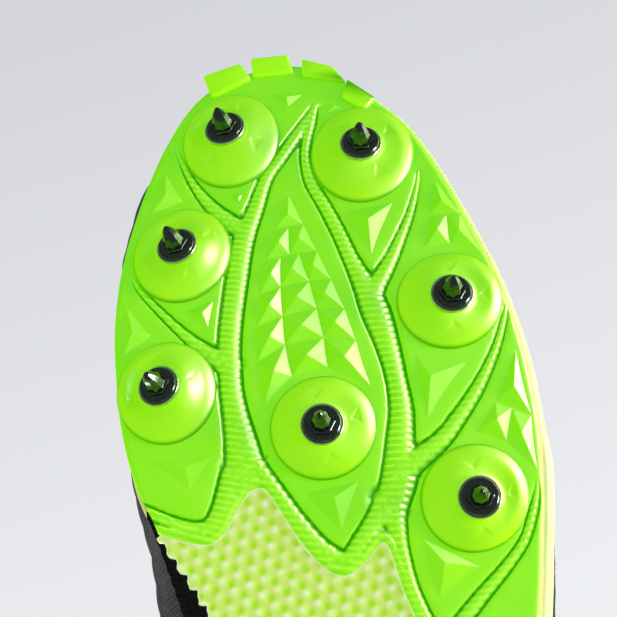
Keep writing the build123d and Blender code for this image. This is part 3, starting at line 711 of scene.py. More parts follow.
def pod(number, centre, axis):
    """A dome round a spike's washer, its foot moved and stretched, with four moulded nicks."""
    across, other = square_to(axis)
    radius, count = POD_RADIUS, 168
    radii = np.concatenate([[3.9, 4.6], np.arange(5.0, radius - 1.2, 0.22), np.linspace(radius - 1.15, radius, 9)])
    r, a = np.meshgrid(radii, np.arange(count) * TAU / count, indexing="ij")
    dome = (1 - np.clip(r / radius, 0, 1) ** 2.6) ** 0.62
    s = -POD_HEIGHT * (1 - dome) + 0.16 * (1 - ease(r, 5.0, 6.2))
    u, v = r * np.cos(a), r * np.sin(a)
    for quarter in range(4):
        heading = math.radians(POD_PHASE[number] + 90 * quarter)
        ex, ey = math.cos(heading), math.sin(heading)
        along, side = u * ex + v * ey, np.abs(-u * ey + v * ex)
        t = (9.1 - along) / 2.6
        half = 2.7 * (1 - np.clip(t, 0, 1))
        inner = ease(half - side, -0.05, 0.8) * np.where((t > 0) & (t < 1), 1.0, 0.0)
        s -= 0.5 * inner * (1 - 0.5 * np.clip(t, 0, 1)) * ease(t, 0.0, 0.14)
        s += 0.07 * np.exp(-((along - 9.35) / 0.3) ** 2) * (1 - ease(side, 2.0, 3.0)) * (along > 0)
    u, v, s = (np.concatenate([rows, rows[-1:], rows[-1:]]) for rows in (u, v, s))
    s[-2:] -= np.array([[0.8], [2.4]])
    grid = np.stack([u, v, s], -1)
    reach = np.linalg.norm(grid[..., :2], axis=-1, keepdims=True)
    outward = ease(reach, 5.5, radius)
    grid[..., :2] *= 1 + outward * (np.array(POD_SPREAD[number]) - 1)
    base = np.array(centre) / MM - np.array(axis) * WASHER_HALF
    points = base + grid @ np.array([across, other, axis])
    points[..., :2] += outward * np.array(POD_SHIFT[number])
    # the dome's flank and foot follow the plate, not the tilted washer
    crown = max(1.6, float(sole_level(base[1])) - base[2] - 0.3)
    sunken = np.concatenate([-0.3 - crown * dome[:, 0], [0.6, 2.0]])[:, None]
    settle = ease(reach[..., 0], 0.42 * radius, 0.84 * radius)
    points[..., 2] += settle * (sole_level(points[..., 1]) + sunken - points[..., 2])
    obj = new_object(f"pod_{number}", points.reshape(-1, 3), band_faces(len(grid), count), pod_paint)
    fix_normals(obj)
    if obj.data.polygons[0].normal.dot(axis) < 0:
        obj.data.flip_normals()
    # painted shade round the dome's foot
    paint_attribute(obj, "painted_shade", ease(reach.ravel(), radius - 0.7, radius) * 0.8)


# each pod's foot against its spike's axis, how far it is stretched and how far its nicks are turned
POD_SHIFT = {1: (-0.75, -1.5), 2: (-0.25, -1.0), 3: (-0.2, -0.4), 4: (0.4, 0.2), 5: (-0.6, -0.4), 6: (-0.1, 0.3),
             7: (0.8, 0.5)}
POD_SPREAD = {1: (1.0, 1.2), 2: (1.045, 1.2), 3: (1.0, 1.13), 4: (1.04, 1.05), 5: (1.0, 1.06), 6: (1.03, 1.03),
              7: (1.04, 1.03)}
POD_PHASE = {1: 61, 2: 30, 3: 18, 4: 0, 5: 11, 6: 9, 7: 3}
joints = {joint["name"]: joint for joint in frame["joints"]}
spike_axes = {}
for number in range(1, SPIKE_COUNT + 1):
    washer_low, washer_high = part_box(f"washer_{number}")
    centre = (washer_low + washer_high) / 2
    axis = Vector(joints[f"spike_{number}_turn"]["axis"]).normalized()
    if axis.z > 0:
        axis = -axis
    spike_axes[number] = (centre, axis)
    pod(number, centre, axis)


def facet(corners, apex, rise, sink=0.7):
    """Points and faces of a low pyramid on the plate."""
    corners = np.asarray(corners, float)
    x, y = corners[:, 0], corners[:, 1]
    if (x * np.roll(y, -1) - np.roll(x, -1) * y).sum() < 0:
        corners = corners[::-1]
    top = corners.mean(0) if apex is None else np.asarray(apex, float)
    n = len(corners)
    level = sole_level(corners[:, 1])
    points = np.vstack([np.column_stack([corners, level + 0.02]), np.column_stack([corners, level + sink]),
                        [[top[0], top[1], float(sole_level(top[1])) - rise]]])
    faces = [(i, 2 * n, (i + 1) % n) for i in range(n)]
    faces += [(i, (i + 1) % n, n + (i + 1) % n, n + i) for i in range(n)]
    faces.append(tuple(range(n, 2 * n)))
    return points, faces


facets = list(FACETS)
for upper_row, lower_row in zip(FACET_ROWS, FACET_ROWS[1:]):
    for k in range(3):
        quad = [upper_row[k], upper_row[k + 1], lower_row[k + 1], lower_row[k]]
        facets.append((quad, None, 1.45))
all_points, all_faces = [], []
for corners, apex, rise in facets:
    points, faces = facet(corners, apex, rise)
    offset = sum(len(p) for p in all_points)
    all_points.append(points)
    all_faces += [tuple(i + offset for i in face) for face in faces]
facet_piece = new_object("plate_facets", np.vstack(all_points), all_faces, plate_paint)
fix_normals(facet_piece)
bevel(facet_piece, 0.16, 2, 8)
facet_piece.data.polygons.foreach_set("use_smooth", [False] * len(facet_piece.data.polygons))
paint_attribute(facet_piece, "painted_shade", np.zeros(len(facet_piece.data.vertices)))


# the spike as (radius, depth) from the washer's face: its body, then its hexagon's and its point's rings
SPIKE_BODY = [(0.0, -5.2), (2.0, -5.2), (2.4, -4.8), (2.4, 0.0), (4.45, 0.0), (4.6, 0.15), (4.6, 0.55), (4.5, 0.85),
              (4.25, 1.15), (3.95, 1.32)]
SPIKE_HEXAGON = [(1.0, 1.36), (0.99, 1.7), (0.965, 1.98), (0.92, 2.1), (0.86, 2.13)]
SPIKE_POINT = [(2.6, 2.12), (2.5, 2.3), (2.38, 3.0), (2.14, 4.0), (1.78, 5.1), (1.32, 6.2), (0.8, 7.2), (0.38, 7.8),
               (0.13, 7.97)]
HEXAGON_FLAT, HEXAGON_CORNER = 3.05, 3.4


def from_flats(turned, sides):
    """Angle of each direction from the middle of its side."""
    return turned % (TAU / sides) - TAU / sides / 2


def spike_piece(number):
    """A plated spike: stem, domed flange, rounded hexagon and faceted point, on the spike's own body."""
    centre, axis = spike_axes[number]
    across, other = square_to(axis)
    base = centre / MM + axis * WASHER_HALF
    count = 72
    turned = np.arange(count) * TAU / count
    hexagon = np.minimum(HEXAGON_FLAT / np.cos(from_flats(turned, 6)), HEXAGON_CORNER)
    octagon = math.cos(TAU / 16) / np.cos(from_flats(turned, 8))
    rings = [(np.full(count, r), s) for r, s in SPIKE_BODY]
    rings += [(hexagon * share, s) for share, s in SPIKE_HEXAGON]
    rings += [(octagon * r, s) for r, s in SPIKE_POINT]
    points = []
    for radius, s in rings:
        for k in range(count):
            offset = across * float(radius[k] * math.cos(turned[k])) + other * float(radius[k] * math.sin(turned[k]))
            points.append(base + offset + axis * s)
    last_ring = (len(rings) - 1) * count
    faces = band_faces(len(rings), count) + [tuple(range(count)), tuple(range(last_ring, last_ring + count))]
    obj = new_object(f"spike_point_{number}", points, faces, chrome, body=f"spike_body_{number}")
    bm = bmesh.new()
    bm.from_mesh(obj.data)
    bmesh.ops.remove_doubles(bm, verts=bm.verts, dist=1e-6)
    bmesh.ops.recalc_face_normals(bm, faces=bm.faces)
    for edge in bm.edges:
        edge.smooth = edge.calc_face_angle(0.0) < math.radians(28)
    bm.to_mesh(obj.data)
    bm.free()
    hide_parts(f"spike_{number}")


for number in spike_axes:
    spike_piece(number)

# the clear film under the arch, a lattice of bosses and dots
LATTICE_A, LATTICE_B = np.array([3.745, -1.06]), np.array([1.105, -3.69])
LATTICE_START, BOSS_OFFSET = np.array([18.44, 18.65]), np.array([-1.6, 1.95])


def lattice_distance(points, offset=(0, 0)):
    """Distance from each point to the nearest point of the film's lattice."""
    basis = np.column_stack([LATTICE_A, LATTICE_B])
    rel = (points[:, :2] - LATTICE_START - offset) @ np.linalg.inv(basis).T
    rel -= np.round(rel)
    found = np.full(len(points), 1e9)
    for i in (-1, 0, 1):
        for j in (-1, 0, 1):
            found = np.minimum(found, np.linalg.norm((rel + (i, j)) @ basis.T, axis=1))
    return found


def film_depth(points):
    """The film lies above the plate's faces, with low bosses on the lattice."""
    boss = np.clip(1 - lattice_distance(points, BOSS_OFFSET) / 1.75, 0, 1)
    dot = np.clip(1 - lattice_distance(points) / 1.25, 0, 1)
    return WINDOW_RECESS - 0.26 * ease(boss, 0, 0.9) + 0.16 * ease(dot, 0, 0.8)


def zigzag(points, pitch=4.3, amount=1.25):
    """A line cut in saw teeth, along a smooth line."""
    line = smooth_line(points, 0.35)
    along, ahead = run_along(line), unit(np.gradient(line, axis=0))
    s = np.arange(0, along[-1], pitch / 8)
    base = at_distance(s, along, line)
    side = at_distance(s, along, np.column_stack([-ahead[:, 1], ahead[:, 0]]))
    phase = (s / pitch) % 1.0
    tooth = np.where(phase < 0.74, phase / 0.74, (1 - phase) / 0.26) + 0.12 * np.sin(s * 3.1) + 0.1 * np.sin(s * 1.3)
    return base + side * ((tooth - 0.5) * amount)[:, None]


film_medial = zigzag(WINDOW_MEDIAL)[::-1]
heel_front = smooth_line(HEEL_FRONT, 0.5)
front_part = np.vstack([rear, [(-60, 160), (60, 160)]])
heel_part = np.vstack([heel_front, [(60, -160), (-60, -160)]])
film_side = outline[(outline[:, 0] < 0) & ~inside(outline, front_part) & ~inside(outline, heel_part)]
film_side = film_side[np.argsort(-film_side[:, 1])]
film_front = rear[inside(rear, outline) & (rear[:, 0] < 41.5)]
film_heel = heel_front[(heel_front[:, 0] > film_side[-1][0] + 0.4) & (heel_front[:, 0] < 30.6)]
film_right = film_medial[(film_medial[:, 1] > film_heel[-1][1] + 0.3) & (film_medial[:, 1] < film_front[0][1] - 0.2)]
film_edge = np.vstack([film_front[edge_distance(film_front, outline) > 0.25], film_side[1:-1], film_heel, film_right])
film_points = hex_points(film_edge.min(0), film_edge.max(0), 0.42)
window = relief("arch_film", film_edge, film_depth, film_points, film, edge_round=0.25, slot="window")
film_plan = plan_of(window)
# the boss attribute carries a painted highlight on each boss and a painted highlight along the film's rim
film_rim_highlight = 1 - ease(edge_distance(film_plan, film_edge), 0.15, 0.5)
film_dots = ease(1 - lattice_distance(film_plan) / 1.45, 0.0, 0.75)
film_boss_highlight = ease(1 - lattice_distance(film_plan, BOSS_OFFSET) / 1.35, 0.05, 0.9)
paint_attribute(window, "dot", film_dots * (1 - film_rim_highlight))
paint_attribute(window, "boss", np.maximum(film_boss_highlight, film_rim_highlight))
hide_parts("arch_window")

# ------------------------------------------------------------------ heel plate and its studs
heel_inside = inside(outline, heel_part)
first = next(i for i in range(len(outline)) if heel_inside[i] and not heel_inside[i - 1])
heel_run = np.roll(outline, -first, axis=0)[:heel_inside.sum()]
heel_line = heel_front[inside(heel_front, outline)][::-1]
heel_line = heel_line[edge_distance(heel_line, outline) > 0.25]
heel_strips = Strips(HEEL_CHANNELS)
heel_relief = relief("heel_plate_relief", np.vstack([heel_run, heel_line]), heel_strips.depth,
                     heel_strips.samples(), plate_paint)
shade_by(heel_relief, heel_strips)
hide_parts("heel_plate")


def lathe(name, x, y, z, profile, material, count=96):
    """A turned solid, its axis straight down, from (radius, depth) pairs."""
    profile = smooth_line(profile, 0.25)
    turned = np.arange(count) * TAU / count
    points = [np.column_stack([x + r * np.cos(turned), y + r * np.sin(turned), np.full(count, z - s)])
              for r, s in profile]
    rows = len(profile)
    faces = band_faces(rows, count) + [tuple(range((rows - 1) * count, rows * count))]
    obj = new_object(name, np.vstack(points), faces, material)
    fix_normals(obj)
    return obj


STUD_PROFILE = [(11.6, -1.2), (11.5, 0.2), (10.8, 1.4), (9.2, 2.3), (7.3, 2.9), (6.1, 3.6), (5.6, 5.2), (5.1, 7.6),
                (4.75, 9.6), (4.55, 10.9), (4.25, 11.6), (3.7, 11.93), (2.9, 12.0), (2.2, 11.9), (1.7, 11.6),
                (0.9, 11.45)]
for index, (x, y) in enumerate(HEEL_STUDS):
    stud = lathe(f"heel_stud_{index + 1}", x, y, HEEL_LEVEL, STUD_PROFILE, plate_paint)
    stud_plan = plan_of(stud)
    # painted shade round the stud's foot, near the plate
    paint_attribute(stud, "painted_shade", ease(stud_plan[:, 2], HEEL_LEVEL - 4.2, HEEL_LEVEL - 2.6)
                    * (1 - ease(np.linalg.norm(stud_plan[:, :2] - (x, y), axis=1), 6.2, 8.5)) * 0.6)

# ------------------------------------------------------------------ toe tabs
TAB_DROP = 1.2
for index, quad in enumerate(TOE_TABS):
    corners = np.asarray(quad, float)
    level = sole_level(corners[:, 1])
    points = np.vstack([np.column_stack([corners, level - TAB_DROP]), np.column_stack([corners, level + PLATE + 0.2])])
    faces = [(3, 2, 1, 0), (4, 5, 6, 7)] + [(i, (i + 1) % 4, 4 + (i + 1) % 4, 4 + i) for i in range(4)]
    tab = new_object(f"toe_tab_{index + 1}", points, faces, tab_paint)
    fix_normals(tab)
    bevel(tab, 0.8, 4, 30)
    tab_plan = plan_of(tab)
    # painted shade along the sole's edge, where the tab meets the plate
    paint_attribute(tab, "painted_shade", 1 - ease(edge_distance(tab_plan, outline), 0.1, 1.1))
    if index == 0:
        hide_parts("toe_bumper")

# ------------------------------------------------------------------ midsole
BULGE_FRONT, BULGE_BACK = 38.0, -52.0


def midsole_piece():
    """The foam sidewall: longitudinal ridges, swelling on the lateral side of the ball and the heel."""
    line = smooth_line(SOLE_OUTLINE, 0.7, closed=True)
    ahead = tangents(line)
    out = np.column_stack([ahead[:, 1], -ahead[:, 0]])
    count = len(line)
    y = line[:, 1]
    swell = ease(BULGE_FRONT - y, 0, 12) * ease(y, BULGE_BACK, BULGE_BACK + 30) * (line[:, 0] < 0)
    waist = ease(22 - y, 0, 6) * ease(y, -72, -66) * (line[:, 0] > 0)
    toe_medial = ease(y, 24, 40) * ease(line[:, 0], -4, 8)
    rows, painted_shade = [], []
    low, high = plate_top(y), sole_level(y) + foam_top(y)
    for t in np.linspace(0, 1, 34):
        ridge = np.abs(math.sin(math.pi * (0.15 + 4.6 * t))) ** 0.6 - 0.6
        amount = 0.35 + 0.75 * math.sin(math.pi * min(1.0, t * 1.15)) ** 0.7 + 0.28 * ridge
        offset = amount + swell * 1.1 * math.sin(math.pi * (0.12 + 0.8 * t)) - waist * 1.3 - toe_medial * 0.9
        ring = line + out * offset[:, None]
        rows.append(np.column_stack([ring, low + (high - low) * t]))
        # painted shade in the troughs between the ridges
        painted_shade.append(np.full(count, max(0.0, -ridge * 1.6)))
    rings = [np.column_stack([line - out * 3.0, low]), *rows, np.column_stack([line - out * 6.0, high])]
    shades = [painted_shade[0], *painted_shade, painted_shade[-1]]
    faces = band_faces(len(rings), count)
    for ring in (0, len(rings) - 1):
        faces += [[ring * count + k for k in face] for face in cap_faces(rings[ring][:, :2])]
    obj = new_object("midsole_foam_body", np.vstack(rings), faces, foam)
    fix_normals(obj)
    paint_attribute(obj, "painted_shade", np.clip(np.concatenate(shades), 0, 1))
    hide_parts("midsole")


midsole_piece()

# ------------------------------------------------------------------ the upper's materials
def knit_paint():
    """Black engineered knit: rows of small V stitches, with a faint heather and a soft sheen."""
    p = Paint("black_knit", Roughness=0.78, Specular_IOR_Level=0.35, Sheen_Weight=0.12, Sheen_Roughness=0.45)
    column = p.math("DIVIDE", p.attribute("girth"), 1.7)
    slant = p.math("ABSOLUTE", p.math("SUBTRACT", p.math("FRACT", column), 0.5))
    row = p.math("ADD", p.math("DIVIDE", p.attribute("along"), 1.25), p.math("MULTIPLY", slant, 1.1))
    loop = p.math("SINE", p.math("MULTIPLY", row, TAU))
    wale = p.math("SINE", p.math("MULTIPLY", slant, TAU))
    height = p.math("MULTIPLY", p.span(loop, -1, 1), p.span(wale, 0, 1, 0.25, 1))
    heather = p.span(p.noise(900, 4, 0.7), 0.35, 0.7)
    # painted shade: the colour is darker in the stitches' valleys and darkest in the holes
    shade = p.math("MULTIPLY", p.span(height, 0, 1, 0.35, 1), p.span(heather, 0, 1, 0.6, 1))
    colour = p.mix(shade, (0.001, 0.001, 0.0012, 1), (0.012, 0.012, 0.014, 1))
    colour = p.mix(p.attribute("shaded_hole"), colour, (0.002, 0.002, 0.002, 1))
    fuzz = p.bump(p.noise(5200, 3, 0.7), 0.25, 0.0001)
    p.set(Base_Color=colour, Normal=p.bump(height, 0.8, 0.00035, fuzz), Roughness=p.span(height, 0, 1, 0.9, 0.66))
    return p.material


def overlay_paint():
    """Thin fused film over the knit: satin black, finely pebbled, dulled where it is rubbed."""
    p = Paint("overlay_film", Roughness=0.32, Specular_IOR_Level=0.5, Coat_Weight=0.15, Coat_Roughness=0.3)
    wear = p.span(p.noise(45, 5, 0.65), 0.42, 0.7)
    pebble = p.cells(1150.0)
    p.set(Base_Color=p.mix(wear, (0.010, 0.010, 0.011, 1), (0.022, 0.022, 0.024, 1)),
          Roughness=p.math("ADD", p.span(wear, 0, 1, 0.27, 0.42), p.math("MULTIPLY", p.noise(600), 0.08)),
          Normal=p.bump(pebble, 0.3, 0.00012))
    return p.material


def woven_paint(name, dark, light, gloss=0.62, pitch=1.1):
    """Woven tape or lace: a herringbone of yarns lit along their crowns."""
    p = Paint(name, Roughness=gloss, Sheen_Weight=0.25, Sheen_Roughness=0.4)
    side = p.math("ABSOLUTE", p.math("SUBTRACT", p.math("FRACT", p.math("DIVIDE", p.attribute("girth"), 2.2)), 0.5))
    run = p.math("ADD", p.math("DIVIDE", p.attribute("along"), pitch), p.math("MULTIPLY", side, 2.0))
    yarn = p.span(p.math("SINE", p.math("MULTIPLY", run, TAU)), -1, 1)
    fibre = p.span(p.noise(2600, 3, 0.7), 0.3, 0.7)
    shade = p.math("MULTIPLY", yarn, p.span(fibre, 0, 1, 0.7, 1))
    p.set(Base_Color=p.mix(shade, dark, light), Normal=p.bump(yarn, 0.7, 0.0002, p.bump(fibre, 0.2, 0.00006)),
          Roughness=p.span(yarn, 0, 1, gloss + 0.12, gloss - 0.06))
    return p.material


def jersey_paint(name, dark, light, scale=1500.0, strength=0.5, sheen=0.3):
    """Soft brushed or spacer fabric of the tongue, collar and insole, with small round meshes."""
    p = Paint(name, Roughness=0.85, Sheen_Weight=sheen, Sheen_Roughness=0.5)
    cells = p.cells(scale / 2.2)
    pile = p.span(p.noise(scale * 2.4, 3, 0.7), 0.3, 0.7)
    shade = p.math("MULTIPLY", p.span(cells, 0.1, 0.6, 1, 0.3), p.span(pile, 0, 1, 0.6, 1))
    p.set(Base_Color=p.mix(shade, dark, light), Roughness=p.span(p.noise(60), 0.3, 0.7, 0.78, 0.92),
          Normal=p.bump(cells, strength, 0.0003, p.bump(pile, 0.3, 0.0001)))
    return p.material


def thread_paint(name, dark, light):
    p = Paint(name, Roughness=0.5, Sheen_Weight=0.2)
    twist = p.span(p.noise(2400, 2, 0.6, p.stretch(1, 1, 1, (30, 20, 40))), 0.35, 0.65)
    p.set(Base_Color=p.mix(twist, dark, light), Normal=p.bump(twist, 0.5, 0.0001),
          Roughness=p.span(twist, 0, 1, 0.62, 0.44))
    return p.material


def carbon_paint():
    """Carbon-fibre shank: a twill of two yarn directions under clear resin."""
    p = Paint("carbon_shank", Roughness=0.3, Coat_Weight=0.4, Coat_Roughness=0.1)
    weave = p.add("ShaderNodeTexChecker", {"Vector": p.stretch(1, 1, 0.2, (0, 0, 45)), "Scale": 480.0}).outputs["Fac"]
    fibre = p.noise(1500, 2, 0.6, p.stretch(1, 0.1, 1, (0, 0, 45)))
    p.set(Base_Color=p.mix(weave, (0.008, 0.008, 0.009, 1), (0.03, 0.03, 0.033, 1)),
          Roughness=p.span(fibre, 0.3, 0.7, 0.22, 0.42), Normal=p.bump(fibre, 0.25, 0.0001))
    return p.material


def board_paint():
    p = Paint("strobel_cloth", Roughness=0.9)
    felt = p.noise(1100, 4, 0.7)
    p.set(Base_Color=p.mix(felt, rgb(176, 172, 160), rgb(222, 219, 208)), Normal=p.bump(felt, 0.5, 0.0003),
          Roughness=p.span(felt, 0.3, 0.7, 0.82, 0.95))
    return p.material


knit = knit_paint()
overlay = overlay_paint()
lace_paint = woven_paint("neon_lace", (0.10, 0.36, 0.0, 1), (0.44, 0.86, 0.02, 1))
tape_paint = woven_paint("neon_webbing", (0.08, 0.30, 0.0, 1), (0.36, 0.76, 0.01, 1), 0.66, pitch=0.9)
tongue_paint = jersey_paint("tongue_mesh", (0.004, 0.004, 0.005, 1), (0.032, 0.033, 0.036, 1), 900.0, 0.7)
lining_paint = jersey_paint("collar_jersey", (0.006, 0.006, 0.007, 1), (0.042, 0.042, 0.046, 1), 1700.0, 0.4, 0.45)
liner_paint = jersey_paint("insole_jersey", (0.012, 0.012, 0.013, 1), (0.060, 0.061, 0.066, 1), 1300.0, 0.5, 0.4)
black_thread = thread_paint("black_thread", (0.010, 0.010, 0.011, 1), (0.070, 0.071, 0.075, 1))
neon_thread = thread_paint("neon_thread", (0.16, 0.50, 0.0, 1), (0.46, 0.86, 0.02, 1))
gunmetal = Paint("eyelet_lacquer", Metallic=0.85, Roughness=0.3)
gunmetal.set(Base_Color=gunmetal.mix(gunmetal.noise(700, 3), (0.02, 0.02, 0.022, 1), (0.07, 0.07, 0.075, 1)),
             Roughness=gunmetal.span(gunmetal.noise(400, 3), 0.3, 0.7, 0.2, 0.42))
eyelet_paint = gunmetal.material
carbon, board = carbon_paint(), board_paint()

# ------------------------------------------------------------------ the upper's shell
COLLAR_LINE = [(-150, 108.5), (-139, 107), (-120, 94), (-92, 84), (-62, 88), (-38, 101), (-20, 116)]
THROAT_HALF_WIDTH, THROAT_FRONT_Y, FACING_BACK_Y, FACING_WIDTH = 10.0, 58.0, -24.0, 13.0
EYELET_X, EYELET_YS = 15.6, [49, 36, 23, 10, -4, -17]
LACE_WIDTH = 6.5

# how far the medial side is pushed out past the last's own line: y, height of its outermost line, distance
MEDIAL_PUSH = [(-40, 42, 6.3), (-14, 40, 6.3), (2, 39, 4.3), (13, 38, 2.3), (20, 37, 1.2), (38, 33, 1.5), (62, 32, 0.5),
               (85, 36, 3.0), (98, 43, 5.9), (108, 46, 6.9), (117, 49, 8.8), (128, 52, 8.4), (143, 50, 1.5)]


def gathered(name, nodes, material):
    """One piece from copies of several CAD nodes."""
    vertices, faces = [], []
    for node in nodes:
        source = frame["nodes"][node]
        base = len(vertices)
        vertices += plan_of(source).tolist()
        faces += [[base + k for k in face.vertices] for face in source.data.polygons]
    return new_object(name, vertices, faces, material)


def remeshed(obj, voxel, smooth):
    """An even mesh of the piece; voxel in millimetres."""
    modifier = obj.modifiers.new("remesh", "REMESH")
    modifier.mode, modifier.voxel_size = "VOXEL", voxel * MM
    relax = obj.modifiers.new("relax", "SMOOTH")
    relax.factor, relax.iterations = 0.5, smooth
    materials = list(obj.data.materials)
    apply_modifiers(obj)
    obj.data.materials.clear()
    for material in materials:
        obj.data.materials.append(material)
    obj.data.polygons.foreach_set("use_smooth", [True] * len(obj.data.polygons))
    return obj


def place_points(obj, points):
    obj.data.vertices.foreach_set("co", (np.asarray(points) * MM).ravel())
    obj.data.update()


def normals_of(obj):
    out = np.empty(len(obj.data.vertices) * 3)
    obj.data.vertices.foreach_get("normal", out)
    return out.reshape(-1, 3)


class Skin:
    """The outer surface of some pieces, for laying patches, straps and seams on it, in millimetres."""

    def __init__(self, *objects):
        vertices, faces = [], []
        for obj in objects:
            base = len(vertices)
            vertices += plan_of(obj).tolist()
            faces += [[base + k for k in face.vertices] for face in obj.data.polygons]
        self.tree = BVHTree.FromPolygons(vertices, faces)

    def hit(self, origin, way):
        way = Vector(way).normalized()
        point, normal, _, _ = self.tree.ray_cast(Vector(origin), way)
        if point is None:
            return None
        return np.array(point), np.array(normal if normal.dot(way) < 0 else -normal)

    def level_hit(self, x, y, z, way):
        """A level ray's hit; at a border it takes the nearest height that hits."""
        for shift in (0, 0.5, -0.5, 1.1, -1.1, 1.8, -1.8, 2.8, -2.8, 4, -4):
            found = self.hit((x, y, z + shift), way)
            if found is not None:
                return found[0] - (0, 0, shift), found[1]
        return None

    def around(self, centre, angle, z):
        way = np.array([math.cos(angle), math.sin(angle), 0.0])
        x, y = np.array(centre) + way[:2] * 150
        return self.level_hit(x, y, z, -way)

    def above(self, x, y):
        """A ray's hit from above; past a border it takes the nearest place that hits."""
        for shift in (0, 0.4, 0.8, 1.3, 2.0, 3.0):
            for turn in range(8):
                way = (math.cos(TAU * turn / 8) * shift, math.sin(TAU * turn / 8) * shift)
                found = self.hit((x + way[0], y + way[1], 200), (0, 0, -1))
                if found is not None and found[1][2] > 0.2:
                    return np.array([x, y, found[0][2]]), found[1]
        return None

    def beside(self, side, y, z):
        return self.level_hit(side * 150, y, z, (-side, 0, 0))

    def section(self, y, angle, centre_z=45.0):
        """Where a ray across the shoe at y comes out, angle 0 to the medial side and 90 degrees upward."""
        way = np.array([math.cos(angle), 0.0, math.sin(angle)])
        return self.hit(np.array([0, y, centre_z]) + way * 150, -way)


def pushed_out(points):
    """Moves points of the medial side outward, so that it stands past the sole's edge."""
    rows = np.array(MEDIAL_PUSH, float)
    gap = np.interp(points[:, 1], [-80, *rows[:, 0], 152], [0, *rows[:, 2], 0])
    height = np.interp(points[:, 1], rows[:, 0], rows[:, 1])
    share = ease(points[:, 2], height - 16, height - 1) * (1 - ease(points[:, 2], height + 6, height + 42))
    moved = points.copy()
    moved[:, 0] += gap * share * ease(points[:, 0], 4, 30)
    return moved


def girth_of(points):
    """Distance around the shoe, for the knit's columns."""
    return np.degrees(np.arctan2(points[:, 2] - 42, points[:, 0])) * 0.72


def shell_piece():
    panels = ["vamp", "quarter_medial", "quarter_lateral", "heel_panel"]
    obj = remeshed(gathered("knit_upper", panels, knit), 1.15, 4)
    points = pushed_out(plan_of(obj))
    place_points(obj, points)
    normals = normals_of(obj)
    along, girth = points[:, 1], girth_of(points)
    pitch = 5.2
    shift = (np.floor(along / (pitch * 0.5)) % 2) * pitch * 0.5
    cell = np.hypot((along / (pitch * 0.5) % 1 - 0.5) * pitch * 0.5, ((girth + shift) / pitch % 1 - 0.5) * pitch)
    zone = ease(along, 52, 66) * (1 - ease(along, 112, 128)) + ease(-along, -22, -6) * (1 - ease(-along, 52, 70))
    zone = np.clip(zone, 0, 1) * ease(points[:, 2], 40, 50)
    shaded_hole = (1 - ease(cell, 0.35, 1.25)) * zone
    ridge = 0.16 * np.cos(TAU * (along + 0.45 * girth) / 7.5) * (1 - zone)
    place_points(obj, points + normals * (ridge - 0.55 * shaded_hole)[:, None])
    paint_attribute(obj, "along", along)
    paint_attribute(obj, "girth", girth)
    # the hole mask also paints shade into the knit's colour in the holes
    paint_attribute(obj, "shaded_hole", shaded_hole)
    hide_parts(*panels)
    return obj


shell = shell_piece()
shell_skin = Skin(shell)


# ------------------------------------------------------------------ layers on the shell
def stations(length, pitch=1.6, near=(0.0, 0.1, 0.28, 0.6, 1.1)):
    """Distances across a patch, closer together by its borders."""
    middle = np.linspace(near[-1], length - near[-1], max(3, int(length / pitch)))[1:-1]
    return np.array([*near, *middle, *(length - d for d in near[::-1])])


def patch(name, points, normals, border, thickness, material, lay, relief=0.0, sink=0.4):
    """A thin layer on a surface, from a grid of points, their normals and distances to its border.

    lay holds the distances along and across it that its weave follows.
    """
    rows, columns = points.shape[:2]
    rounding = max(0.6, 0.9 * thickness)
    height = thickness * np.sqrt(1 - (1 - np.clip(border / rounding, 0, 1)) ** 2) + relief * ease(border, 0.4, 1.4)
    top = (points + normals * height[..., None]).reshape(-1, 3)
    bottom = (points - normals * sink).reshape(-1, 3)
    count = rows * columns
    faces = []
    for i in range(rows - 1):
        for j in range(columns - 1):
            a, b = i * columns + j, (i + 1) * columns + j
            faces.append((a, b, b + 1, a + 1))
            faces.append((count + a, count + a + 1, count + b + 1, count + b))
    rim = [(0, j) for j in range(columns)] + [(i, columns - 1) for i in range(1, rows)]
    rim += [(rows - 1, j) for j in range(columns - 2, -1, -1)] + [(i, 0) for i in range(rows - 2, 0, -1)]
    rim = [i * columns + j for i, j in rim]
    for a, b in zip(rim, rim[1:] + rim[:1]):
        faces.append((a, b, count + b, count + a))
    obj = new_object(name, np.vstack([top, bottom]), faces, material)
    fix_normals(obj)
    for attribute, values in zip(("along", "girth"), lay):
        paint_attribute(obj, attribute, np.tile(np.asarray(values, float).ravel(), 2))
    return obj


def smooth_grid(grid, times=3):
    """Evens out a grid of points or normals, its border left as it is."""
    for _ in range(times):
        inner = grid[1:-1, 1:-1]
        mean = (grid[:-2, 1:-1] + grid[2:, 1:-1] + grid[1:-1, :-2] + grid[1:-1, 2:]) / 4
        grid[1:-1, 1:-1] = inner + 0.6 * (mean - inner)
    return grid


def foot_line(y):
    """Height of the foam's upper edge."""
    return float(sole_level(y) + foam_top(y))


